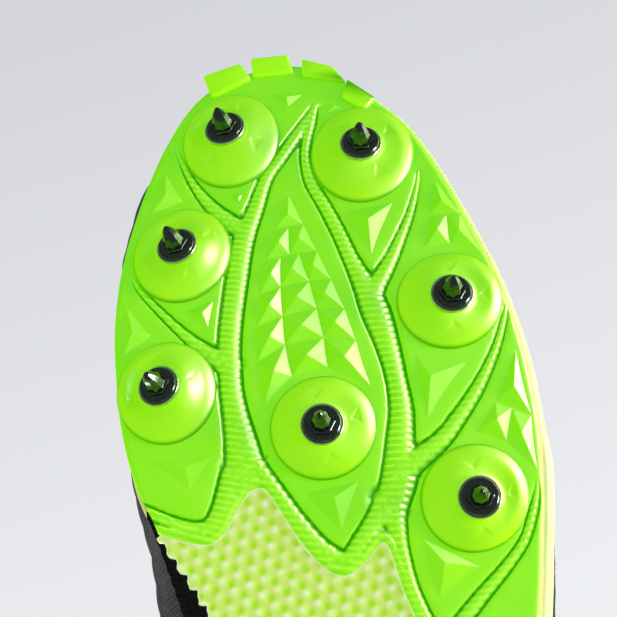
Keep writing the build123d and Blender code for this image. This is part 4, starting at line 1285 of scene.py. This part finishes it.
def wall_patch(name, centre, start, end, top_line, thickness, ribs, node):
    """A layer around the toe or heel, from the foam up to a line of (y, height), with ribs below that line."""
    tops = np.array(sorted(top_line))
    grid, normals, border, lay = [], [], [], []
    run, before = 0.0, None
    for angle in np.linspace(start, end, 150):
        middle = shell_skin.around(centre, angle, 45)[0]
        run += 0 if before is None else float(np.linalg.norm(middle - before))
        before = middle
        low = foot_line(middle[1]) + 0.4
        high = float(np.interp(middle[1], tops[:, 0], tops[:, 1]))
        column, column_normals, sides = [], [], []
        for v in stations(max(high - low, 2.8), 1.3):
            found = shell_skin.around(centre, angle, low + v)
            column.append(found[0])
            column_normals.append(found[1])
            sides.append(min(v, high - low - v))
        grid.append(column)
        normals.append(column_normals)
        border.append(sides)
        lay.append([run] * len(column))
    widest = max(len(column) for column in grid)
    share = np.linspace(0, 1, widest)

    def even(columns):
        out = []
        for column in columns:
            column = np.asarray(column, float)
            at = np.linspace(0, 1, len(column))
            out.append(np.interp(share, at, column) if column.ndim == 1 else at_distance(share, at, column))
        return np.array(out)

    points, normals, border, run_grid = even(grid), even(normals), even(border), even(lay)
    total = run_grid.max()
    border = np.minimum(border, np.minimum(run_grid, total - run_grid))
    points, normals = smooth_grid(points, 4), unit(smooth_grid(normals, 6))
    from_top = np.abs(points[..., 2] - np.interp(points[..., 1], tops[:, 0], tops[:, 1]))
    relief = np.zeros_like(border)
    for at, width, rise in ribs:
        relief += rise * np.exp(-((from_top - at) / width) ** 2)
    obj = patch(name, points, normals, np.clip(border, 0, None), thickness, overlay,
                (run_grid, points[..., 2]), relief)
    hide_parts(node)
    return obj, points


def angle_at(centre, side, y, z=45):
    """The angle about centre at which the shell's side passes y."""
    point = shell_skin.beside(side, y, z)[0]
    return math.atan2(point[1] - centre[1], point[0] - centre[0])


HEEL_CENTRE, TOE_CENTRE = (0.0, -98.0), (2.0, 92.0)
counter_line = [(-160, 84), (-126, 78), (-98, 60), (-70, 44), (-60, 44)]
counter, counter_points = wall_patch(
    "heel_counter_wrap", HEEL_CENTRE, angle_at(HEEL_CENTRE, 1, -71), angle_at(HEEL_CENTRE, -1, -71) - TAU,
    counter_line, 0.95, [(4.2, 0.9, 0.45), (8.4, 0.9, 0.35), (12.6, 0.9, 0.25)], "heel_counter")
guard_line = [(80, 42), (84, 44), (108, 57), (128, 66), (160, 70)]
guard, guard_points = wall_patch(
    "toe_guard_wrap", TOE_CENTRE, angle_at(TOE_CENTRE, 1, 85), angle_at(TOE_CENTRE, -1, 85) + TAU,
    guard_line, 0.9, [(3.6, 0.8, 0.35), (7.0, 0.8, 0.25)], "toe_guard")


def facing_run(v):
    """Plan points around the throat, v outward from its edge, from the medial back end to the lateral one."""
    radius = THROAT_HALF_WIDTH + v
    straight = np.linspace(FACING_BACK_Y, THROAT_FRONT_Y, 62)
    turn = np.linspace(0, math.pi, 40)[1:-1]
    right = [(radius, y) for y in straight]
    front = [(radius * math.cos(a), THROAT_FRONT_Y + radius * math.sin(a)) for a in turn]
    left = [(-radius, y) for y in straight[::-1]]
    return np.array(right + front + left)


def facing_piece():
    """The eyestays in one, around the throat."""
    steps = stations(FACING_WIDTH - 0.5, 1.2)
    grid, normals = [], []
    for v in steps:
        column = [shell_skin.above(x, y) for x, y in facing_run(v + 0.5)]
        grid.append([c[0] for c in column])
        normals.append([c[1] for c in column])
    points, normals = np.array(grid).transpose(1, 0, 2), np.array(normals).transpose(1, 0, 2)
    points, normals = smooth_grid(points, 4), unit(smooth_grid(normals, 8))
    along = run_along(facing_run(6.5))
    across = np.tile(steps, (len(along), 1))
    border = np.minimum(np.minimum(across, FACING_WIDTH - 0.5 - across),
                        np.minimum(along, along[-1] - along)[:, None] + 0 * across)
    relief = 0.3 * np.exp(-((across - (FACING_WIDTH - 3.4)) / 0.7) ** 2)
    obj = patch("eyestay_facing", points, normals, border, 0.9, overlay,
                (np.tile(along[:, None], (1, len(steps))), across), relief)
    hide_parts("eyestay_medial", "eyestay_lateral")
    return obj, points


facing, facing_points = facing_piece()


def waist_piece():
    """The cloth drawn down over the medial side of the arch, from the upper to the plate."""
    line = smooth_line(SOLE_OUTLINE, 0.5, closed=True)
    side = line[(line[:, 0] > 0) & (line[:, 1] > -73) & (line[:, 1] < 26.5)]
    side = side[np.argsort(side[:, 1])]
    side = side[::3]
    grid, border = [], []
    rise = np.linspace(0, 1, 16)
    for x, y in side:
        low = float(plate_top(y)) - 0.6
        high = foot_line(y) + 5.0
        outer = shell_skin.beside(1, y, high)[0][0]
        belly = max(x + 1.2, 0.35 * x + 0.65 * outer)
        under = [(x + 0.5 - inset, y, low) for inset in (9, 7, 5, 3, 1.5, 0.5)]
        column = [((1 - t) ** 2 * (x + 0.5) + 2 * t * (1 - t) * belly + t * t * outer, y, low + (high - low) * t)
                  for t in rise]
        grid.append(under + column)
        border.append([2.0] * len(under) + [max(0.6, min(2.0, (1 - t) * (high - low))) for t in rise])
    points = np.array(grid)
    normals = unit(np.cross(np.gradient(points, axis=0), np.gradient(points, axis=1)))
    normals = np.where(normals[..., :1] - 0.5 * normals[..., 2:] < 0, -normals, normals)
    along = points[:, :1, 1] - points[0, 0, 1] + 0 * points[..., 1]
    border = np.minimum(np.array(border), np.minimum(along, along.max() - along))
    folds = 0.18 * np.cos(TAU * points[..., 1] / 3.1 + 0.8 * np.sin(points[..., 1] / 5))
    girth = girth_of(points.reshape(-1, 3)).reshape(points.shape[:2])
    obj = patch("waist_wrap_cloth", points, normals, border, 0.6, knit, (points[..., 1], girth),
                folds * (1 - ease(border, 3, 7)), 0.5)
    paint_attribute(obj, "shaded_hole", np.zeros(len(obj.data.vertices)))
    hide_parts("waist_wrap")


waist_piece()


# ------------------------------------------------------------------ padded pieces
CLOTH_FRAMES = 20


def stuffed(obj, pressure, cap):
    """Foam pressing the cloth outward, simulated; no point moves further than cap millimetres."""
    before = plan_of(obj)
    cloth = obj.modifiers.new("cloth", "CLOTH")
    cloth.settings.use_pressure = True
    cloth.settings.uniform_pressure_force = pressure
    cloth.settings.effector_weights.gravity = 0
    cloth.settings.mass = 0.02
    cloth.settings.tension_stiffness = cloth.settings.compression_stiffness = 8
    cloth.settings.bending_stiffness = 0.05
    cloth.settings.quality = 8
    for number in range(1, CLOTH_FRAMES + 1):
        bpy.context.scene.frame_set(number)
    graph = bpy.context.evaluated_depsgraph_get()
    puffed = obj.evaluated_get(graph)
    after = np.empty(len(puffed.data.vertices) * 3)
    puffed.data.vertices.foreach_get("co", after)
    move = after.reshape(-1, 3) / MM - before
    far = np.linalg.norm(move, axis=1, keepdims=True)
    move = np.nan_to_num(move * np.minimum(1, cap / np.maximum(far, 1e-6)))
    obj.modifiers.clear()
    bpy.context.scene.frame_set(1)
    place_points(obj, before + move)


def padded_piece(name, node, material, voxel, shrink, pressure, cap, seam_depth, smooth=4):
    """A padded piece: a copy of its CAD solid, made a little smaller, puffed up and sewn down along its seams."""
    obj = remeshed(gathered(name, [node], material), voxel, smooth)
    place_points(obj, plan_of(obj) - normals_of(obj) * shrink)
    stuffed(obj, pressure, cap)
    finer = obj.modifiers.new("finer", "SUBSURF")
    finer.levels = finer.render_levels = 1
    apply_modifiers(obj)
    points, normals = plan_of(obj), normals_of(obj)
    place_points(obj, points - normals * seam_depth(points, normals)[:, None])
    obj.data.polygons.foreach_set("use_smooth", [True] * len(obj.data.polygons))
    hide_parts(node)
    return obj


def groove(distance, width, depth):
    """How deep a rounded groove is at a distance from its middle."""
    return depth * np.exp(-(distance / width) ** 2)


def tongue_seams(points, normals):
    """Sewn rows across the tongue and one around its edge."""
    rows = np.abs((points[:, 1] + 4) % 13 - 6.5)
    rim = np.abs(np.abs(points[:, 0]) - 16.5)
    outer = ease(normals[:, 2], 0.1, 0.5)
    return outer * (groove(rows, 0.8, 0.9) * (np.abs(points[:, 0]) < 16.5) + groove(rim, 0.8, 0.7))


def collar_seams(points, normals):
    """Two sewn channels below the collar's edge, deeper where the ankle sits."""
    line = smooth_line(COLLAR_LINE, 2.0)
    from_edge = np.interp(points[:, 1], line[:, 0], line[:, 1]) - points[:, 2]
    inward = ease(-(normals[:, 0] * points[:, 0] + normals[:, 1] * (points[:, 1] + 95)), 0, 10)
    return inward * (groove(from_edge - 7.5, 0.9, 0.8) + groove(from_edge - 16, 0.9, 0.6))


def insole_seams(points, normals):
    """Vent holes through the insole's forefoot, and the dished heel's ring."""
    up = ease(normals[:, 2], 0.3, 0.7)
    pitch = 6.0
    row = np.floor(points[:, 1] / pitch)
    cell = np.hypot(points[:, 1] - (row + 0.5) * pitch, (points[:, 0] + (row % 2) * pitch / 2) % pitch - pitch / 2)
    zone = ease(points[:, 1], 30, 44) * (1 - ease(points[:, 1], 112, 124)) * (np.abs(points[:, 0]) < 32)
    dish = np.hypot(points[:, 0] / 0.9, points[:, 1] + 108)
    return up * ((1 - ease(cell, 0.7, 1.5)) * zone * 0.8 + groove(dish - 20, 0.9, 0.5))


tongue = padded_piece("tongue_pad", "tongue", tongue_paint, 2.2, 0.5, 60.0, 0.9, tongue_seams)
padded_piece("collar_pad", "collar_lining", lining_paint, 2.0, 0.4, 60.0, 0.7, collar_seams)
padded_piece("insole_pad", "sockliner", liner_paint, 1.9, 0.15, 20.0, 0.3, insole_seams, 3)


# ------------------------------------------------------------------ lacing, tapes and seams
def spun(origin, axis, profile, count):
    """A ring turned about an axis, from (radius, height) pairs."""
    axis = Vector(axis).normalized()
    side = axis.orthogonal().normalized()
    other = axis.cross(side)
    vertices = []
    for radius, height in profile:
        for k in range(count):
            way = side * math.cos(TAU * k / count) + other * math.sin(TAU * k / count)
            vertices.append(tuple(Vector(origin) + way * radius + axis * height))
    return vertices, band_faces(len(profile), count, closed=True)


def bundle(name, parts, material):
    """One piece from several (vertices, faces)."""
    vertices, faces = [], []
    for some, others in parts:
        base = len(vertices)
        vertices += list(some)
        faces += [[base + k for k in face] for face in others]
    obj = new_object(name, vertices, faces, material)
    fix_normals(obj)
    return obj


facing_skin = Skin(facing)
EYELET_PROFILE = [(2.35, -2.4), (2.3, 0.1), (2.42, 0.55), (2.75, 0.85), (3.2, 0.9), (3.65, 0.72), (3.95, 0.35),
                  (4.0, -0.15), (3.2, -0.3), (2.7, -2.4)]
for side, label in ((1, "medial"), (-1, "lateral")):
    rings = []
    for y in EYELET_YS:
        point, normal = facing_skin.above(side * EYELET_X, y)
        rings.append(spun(point, normal, EYELET_PROFILE, 40))
    eyelets = bundle(f"eyelet_rings_{label}", rings, eyelet_paint)
    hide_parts(f"eyelets_{label}")

WASHER_PROFILE = [(4.2, -0.65), (5.0, -0.65), (5.08, 0.05), (5.0, 0.25), (4.82, 0.34), (4.62, 0.28), (4.4, 0.1)]
for number, (centre, axis) in spike_axes.items():
    vertices, faces = spun(centre / MM + axis * WASHER_HALF, axis, WASHER_PROFILE, 96)
    ring = new_object(f"washer_ring_{number}", vertices, faces, steel, body=f"washer_body_{number}")
    fix_normals(ring)
    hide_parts(f"washer_{number}")

cad_lace = Skin(frame["nodes"]["lace"])


def lace_run(name, start, end, lift):
    """A flat lace from eyelet to eyelet: down into each, and over or under the one that it crosses."""
    start, end = np.array(start, float), np.array(end, float)
    way = (end - start) / np.linalg.norm(end - start)
    side = np.array([-way[1], way[0]])
    length = float(np.linalg.norm(end - start))
    steps = np.linspace(0, length, 64)
    across = stations(LACE_WIDTH, 0.8, (0.0, 0.12, 0.35, 0.75))
    grid = []
    for s in steps:
        centre = start + way * s
        to_end = min(s, length - s)
        narrow = 0.5 + 0.5 * float(ease(to_end, 0.6, 4.2))
        dive = 3.4 * (1 - float(ease(to_end, 0.3, 4.0)))
        crossing = lift * math.exp(-((s / length - 0.5) * length / 5.5) ** 2)
        found = cad_lace.above(*(start + way * np.clip(s, 1.5, length - 1.5)))
        column = []
        for v in across:
            x, y = centre + side * (v - LACE_WIDTH / 2) * narrow
            crown = -0.25 * ((v / LACE_WIDTH - 0.5) * 2) ** 2
            column.append((x, y, found[0][2] - 1.45 + crown + crossing - dive))
        grid.append(column)
    points = np.array(grid)
    evened(points[..., 2], 4)
    normals = unit(np.cross(np.gradient(points, axis=0), np.gradient(points, axis=1)))
    normals = np.where(normals[..., 2:] < 0, -normals, normals)
    border = np.tile(np.minimum(across, LACE_WIDTH - across), (len(steps), 1))
    lay = np.tile(steps[:, None], (1, len(across))), np.tile(across, (len(steps), 1))
    return patch(name, points, normals, border, 1.0, lace_paint, lay, sink=0.35)


lace_bar = lace_run("lace_bar", (-EYELET_X, EYELET_YS[0]), (EYELET_X, EYELET_YS[0]), 0.0)
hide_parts("lace")
for number, (y, next_y) in enumerate(zip(EYELET_YS, EYELET_YS[1:]), 1):
    over = 1 if number % 2 else -1
    lace_run(f"lace_{number}_to_medial", (-EYELET_X, y), (EYELET_X, next_y), 0.55 * over)
    lace_run(f"lace_{number}_to_lateral", (EYELET_X, y), (-EYELET_X, next_y), -0.55 * over)


def tape(name, node, find, u_range, v_range, thickness, cords):
    """A woven tape lying on a CAD strap's place, with raised cords along it."""
    width = u_range[1] - u_range[0]
    us, vs = stations(width, 0.7, (0.0, 0.15, 0.4, 0.8)), np.linspace(0, v_range[1] - v_range[0], 44)
    grid, normals = [], []
    for v in vs:
        column = [find(u_range[0] + u, v_range[0] + v) for u in us]
        good = next(c for c in column[len(column) // 2:] if c is not None)
        column = [c if c is not None else good for c in column]
        grid.append([c[0] for c in column])
        normals.append([c[1] for c in column])
    points, normals = smooth_grid(np.array(grid), 3), unit(smooth_grid(np.array(normals), 8))
    across = np.tile(us, (len(vs), 1))
    down = np.tile(vs[:, None], (1, len(us)))
    border = np.minimum(np.minimum(across, width - across), np.minimum(down, down.max() - down) + 0.3)
    relief = cords * np.abs(np.sin(math.pi * across / 2.2))
    obj = patch(name, points, normals, border, thickness, tape_paint, (down, across), relief, 0.5)
    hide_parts(node)


tape("heel_pull_tape", "heel_tape", lambda u, v: shell_skin.hit((u, -200, v), (0, 1, 0)), (-7.6, 7.6), (80.8, 106.6),
     1.0, 0.22)
tongue_skin = Skin(tongue)
tape("tongue_keeper_tape", "tongue_keeper", lambda u, v: tongue_skin.above(v, u), (-7.6, -1.4), (-7.8, 7.8),
     0.9, 0.15)


def tube(name, path, radius, material, count=14):
    """A rolled binding along a path of points."""
    ahead = unit(np.gradient(path, axis=0))
    side = unit(np.cross(ahead, (0.0, 0.0, 1.0)))
    top = unit(np.cross(side, ahead))
    along = run_along(path)
    swell = (radius * (1 + 0.035 * np.cos(TAU * along / 2.4)))[:, None]
    turned = np.arange(count) * TAU / count
    points = np.array([path + (side * math.cos(angle) + top * math.sin(angle)) * swell for angle in turned])
    rows = len(path)
    faces = band_faces(rows, count) + [list(range(count))[::-1], [(rows - 1) * count + k for k in range(count)]]
    obj = new_object(name, points.transpose(1, 0, 2).reshape(-1, 3), faces, material)
    fix_normals(obj)
    paint_attribute(obj, "along", np.repeat(along, count))
    paint_attribute(obj, "girth", np.tile(turned * radius, rows))


def collar_path(drop, inset):
    """Along the collar's edge from the medial front around the heel, drop below it and inset in the cloth."""
    line = smooth_line(COLLAR_LINE, 0.8)
    path = []
    front = [p for p in line[::-1] if p[1] > 0 and -98 < p[0] < -23]
    for y, z in front:
        path.append(shell_skin.beside(1, y, z - drop))
    start, end = (angle_at(HEEL_CENTRE, side, -98, 80) for side in (1, -1))
    for angle in np.linspace(start, end - TAU, 90):
        y = -98.0
        for _ in range(4):
            z = float(np.interp(y, line[:, 0], line[:, 1])) - drop
            found = shell_skin.around(HEEL_CENTRE, angle, z)
            if found is None:
                break
            y = float(found[0][1])
        path.append(found)
    for y, z in front[::-1]:
        path.append(shell_skin.beside(-1, y, z - drop))
    points = np.array([found[0] - found[1] * inset for found in path if found is not None])
    points = points[np.concatenate([[True], np.linalg.norm(np.diff(points, axis=0), axis=1) > 0.25])]
    return evened(points, 6)


binding_paint = woven_paint("collar_binding", (0.004, 0.004, 0.005, 1), (0.040, 0.041, 0.045, 1), 0.7, pitch=1.0)
tube("collar_binding", collar_path(1.3, 1.0), 1.75, binding_paint)


def stitch_run(skin, path, pitch=2.6, length=1.8, radius=0.27):
    """Stitches along a path near a surface, each a small bowed capsule."""
    path = np.asarray(path, float)
    along = run_along(path)
    parts = []
    for s in np.arange(pitch / 2, along[-1] - pitch / 2, pitch):
        here, ahead = at_distance([s, s + 0.4], along, path)
        point, normal, _, _ = skin.tree.find_nearest(Vector(here))
        if normal.dot(Vector(here) - Vector((0, point.y, 50))) < 0:
            normal = -normal
        run = Vector(ahead - here)
        run = (run - normal * run.dot(normal)).normalized()
        side = run.cross(normal)
        vertices = []
        for t, r in ((-1, 0.2), (-0.8, 0.75), (-0.35, 1), (0.35, 1), (0.8, 0.75), (1, 0.2)):
            centre = point + run * (t * length / 2) + normal * (0.16 - 0.3 * t * t)
            for k in range(6):
                angle = TAU * k / 6
                vertices.append(tuple(centre + (side * math.cos(angle) + normal * math.sin(angle)) * r * radius))
        parts.append((vertices, band_faces(6, 6) + [[5, 4, 3, 2, 1, 0], [30, 31, 32, 33, 34, 35]]))
    return parts


def section_path(y_of, start, end, count=50):
    """Across the shell in planes of about equal y, y_of giving y from the point's x."""
    path = []
    for angle in np.linspace(math.radians(start), math.radians(end), count):
        y = y_of(20.0)
        found = None
        for _ in range(3):
            found = shell_skin.section(y, angle)
            if found is None:
                break
            y = y_of(abs(float(found[0][0])))
        if found is not None and found[0][2] > foot_line(found[0][1]) + 1.5:
            path.append(found[0] + found[1] * 0.2)
    return path


black_parts, neon_parts = [], []
for inset in (5, 7):
    black_parts += stitch_run(facing_skin, facing_points[:, inset - 1])
neon_parts += stitch_run(facing_skin, facing_points[:, -5], 2.9, 2.0)
for piece, points in ((counter, counter_points), (guard, guard_points)):
    black_parts += stitch_run(Skin(piece), points[2:-2, -5])
for side in (1, -1):
    edge = (0, 78) if side > 0 else (180, 102)
    for shift in (-1.1, 1.1):
        black_parts += stitch_run(shell_skin, section_path(lambda x: 48 - 26 / 60 * x + shift, *edge))
        low = (-20, 60) if side > 0 else (200, 120)
        black_parts += stitch_run(shell_skin, section_path(lambda x: -96 + shift, *low))
black_parts += stitch_run(shell_skin, collar_path(5.2, 0.0), 3.0, 2.1)
bundle("stitching_black", black_parts, black_thread)
bundle("stitching_neon", neon_parts, neon_thread)

# the CAD pieces that keep their own meshes
cad_looks = {"shank": carbon, "strobel_board": board, "toe_puff": overlay}
for number in spike_axes:
    cad_looks |= {f"spike_{number}": chrome, f"washer_{number}": steel, f"receptacle_{number}": steel}
for node, paint in cad_looks.items():
    for index in range(max(1, len(frame["nodes"][node].material_slots))):
        frame["nodes"][node].data.materials[index] = paint

# ------------------------------------------------------------------ camera, light and stage
camera_data = bpy.data.cameras.new("camera")
camera_data.lens, camera_data.sensor_width = 160.05, 36.0
camera_data.clip_start, camera_data.clip_end = 0.01, 20.0
camera = bpy.data.objects.new("camera", camera_data)
bpy.context.scene.collection.objects.link(camera)
forward_view = Vector((0.08716, 0.33254, 0.93905)).normalized()
up_view = Vector((-0.11740, 0.93950, -0.32180))
up_view = (up_view - forward_view * up_view.dot(forward_view)).normalized()
right_view = forward_view.cross(up_view)
turn = Matrix((right_view, up_view, -forward_view)).transposed()
camera.matrix_world = Matrix.Translation(Vector((-0.05510, -0.14608, -0.59839))) @ turn.to_4x4()
bpy.context.scene.camera = camera


def softbox(name, position, target, size, watts, colour=(1, 1, 1)):
    data = bpy.data.lights.new(name, "AREA")
    data.shape, data.size, data.size_y = "RECTANGLE", size[0], size[1]
    data.energy, data.color = watts, colour
    light = bpy.data.objects.new(name, data)
    bpy.context.scene.collection.objects.link(light)
    light.location = position
    light.rotation_euler = (Vector(target) - Vector(position)).to_track_quat("-Z", "Y").to_euler()
    return light


softbox("key_under", (-0.95, -0.06, -0.075), (0, 0.05, 0.01), (0.3, 0.45), 9)
fill = softbox("fill_under", (0.72, -0.3, -0.8), (0, 0.05, 0.01), (0.9, 0.9), 3.3)
fill.visible_glossy = False
sheen = softbox("sheen_under", (-0.80, 0.40, -0.50), (0, 0.05, 0.01), (0.66, 0.66), 82, (1, 0.97, 0.66))
sheen.visible_diffuse = False
softbox("key_over", (0.7, -0.6, 0.95), (0, 0, 0.05), (0.6, 0.6), 16)
softbox("fill_over", (-0.9, 0.3, 0.8), (0, 0, 0.05), (0.9, 0.9), 9)

# the backdrop brightens along this slope, in the direction looked
BACKDROP_SLOPE, BACKDROP_SPAN = (-0.186, -0.918, 0.342), 0.12
world = bpy.data.worlds.new("studio")
bpy.context.scene.world = world
world.use_nodes = True
sky = Nodes(world.node_tree)
lighting = sky.tree.nodes["Background"]
lighting.inputs["Color"].default_value = (0.76, 0.775, 0.80, 1)
lighting.inputs["Strength"].default_value = 0.24
slope = sky.add("ShaderNodeVectorMath", {0: sky.add("ShaderNodeTexCoord").outputs["Generated"], 1: BACKDROP_SLOPE},
                operation="DOT_PRODUCT").outputs["Value"]
backdrop = sky.mix(sky.span(slope, -BACKDROP_SPAN, BACKDROP_SPAN), rgb(212, 214, 218), rgb(237, 239, 243))
seen = sky.add("ShaderNodeBackground", {"Color": backdrop})
either = sky.add("ShaderNodeMixShader", {0: sky.add("ShaderNodeLightPath").outputs["Is Camera Ray"],
                                         1: lighting.outputs[0], 2: seen.outputs[0]})
sky.link(either.outputs[0], sky.tree.nodes["World Output"].inputs["Surface"])
bpy.context.scene.view_settings.view_transform = "Standard"

# the floor is seen from above only
FLOOR_HALF = 4000.0
floor_paint = Paint("studio_floor", Roughness=0.7)
floor_paint.set(Base_Color=floor_paint.mix(floor_paint.noise(3, 3), rgb(222, 223, 226), rgb(230, 231, 234)))
one_way = floor_paint.add("ShaderNodeMixShader", {
    0: floor_paint.add("ShaderNodeNewGeometry").outputs["Backfacing"], 1: floor_paint.shader.outputs[0],
    2: floor_paint.add("ShaderNodeBsdfTransparent").outputs[0]})
floor_paint.link(one_way.outputs[0], floor_paint.output.inputs["Surface"])
floor = new_object("floor", [(x * FLOOR_HALF, y * FLOOR_HALF, -0.2) for x, y in ((-1, -1), (1, -1), (1, 1), (-1, 1))],
                   [(0, 1, 2, 3)], floor_paint.material, body=None)
floor.visible_shadow = floor.visible_diffuse = floor.visible_glossy = False
floor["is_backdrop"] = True

# the glowing pieces carry a painted glow, emission that makes them bright themselves, but they throw no light about,
# and they alone take the sheen light
shining = bpy.data.collections.new("shining")
sheen.light_linking.receiver_collection = shining
glowing_paints = {plate_paint, pod_paint, tab_paint, film, foam}
for obj in bpy.context.scene.objects:
    if obj.type == "MESH" and any(slot.material in glowing_paints for slot in obj.material_slots):
        obj.visible_diffuse = False
        shining.objects.link(obj)

# ------------------------------------------------------------------ size
low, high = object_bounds()
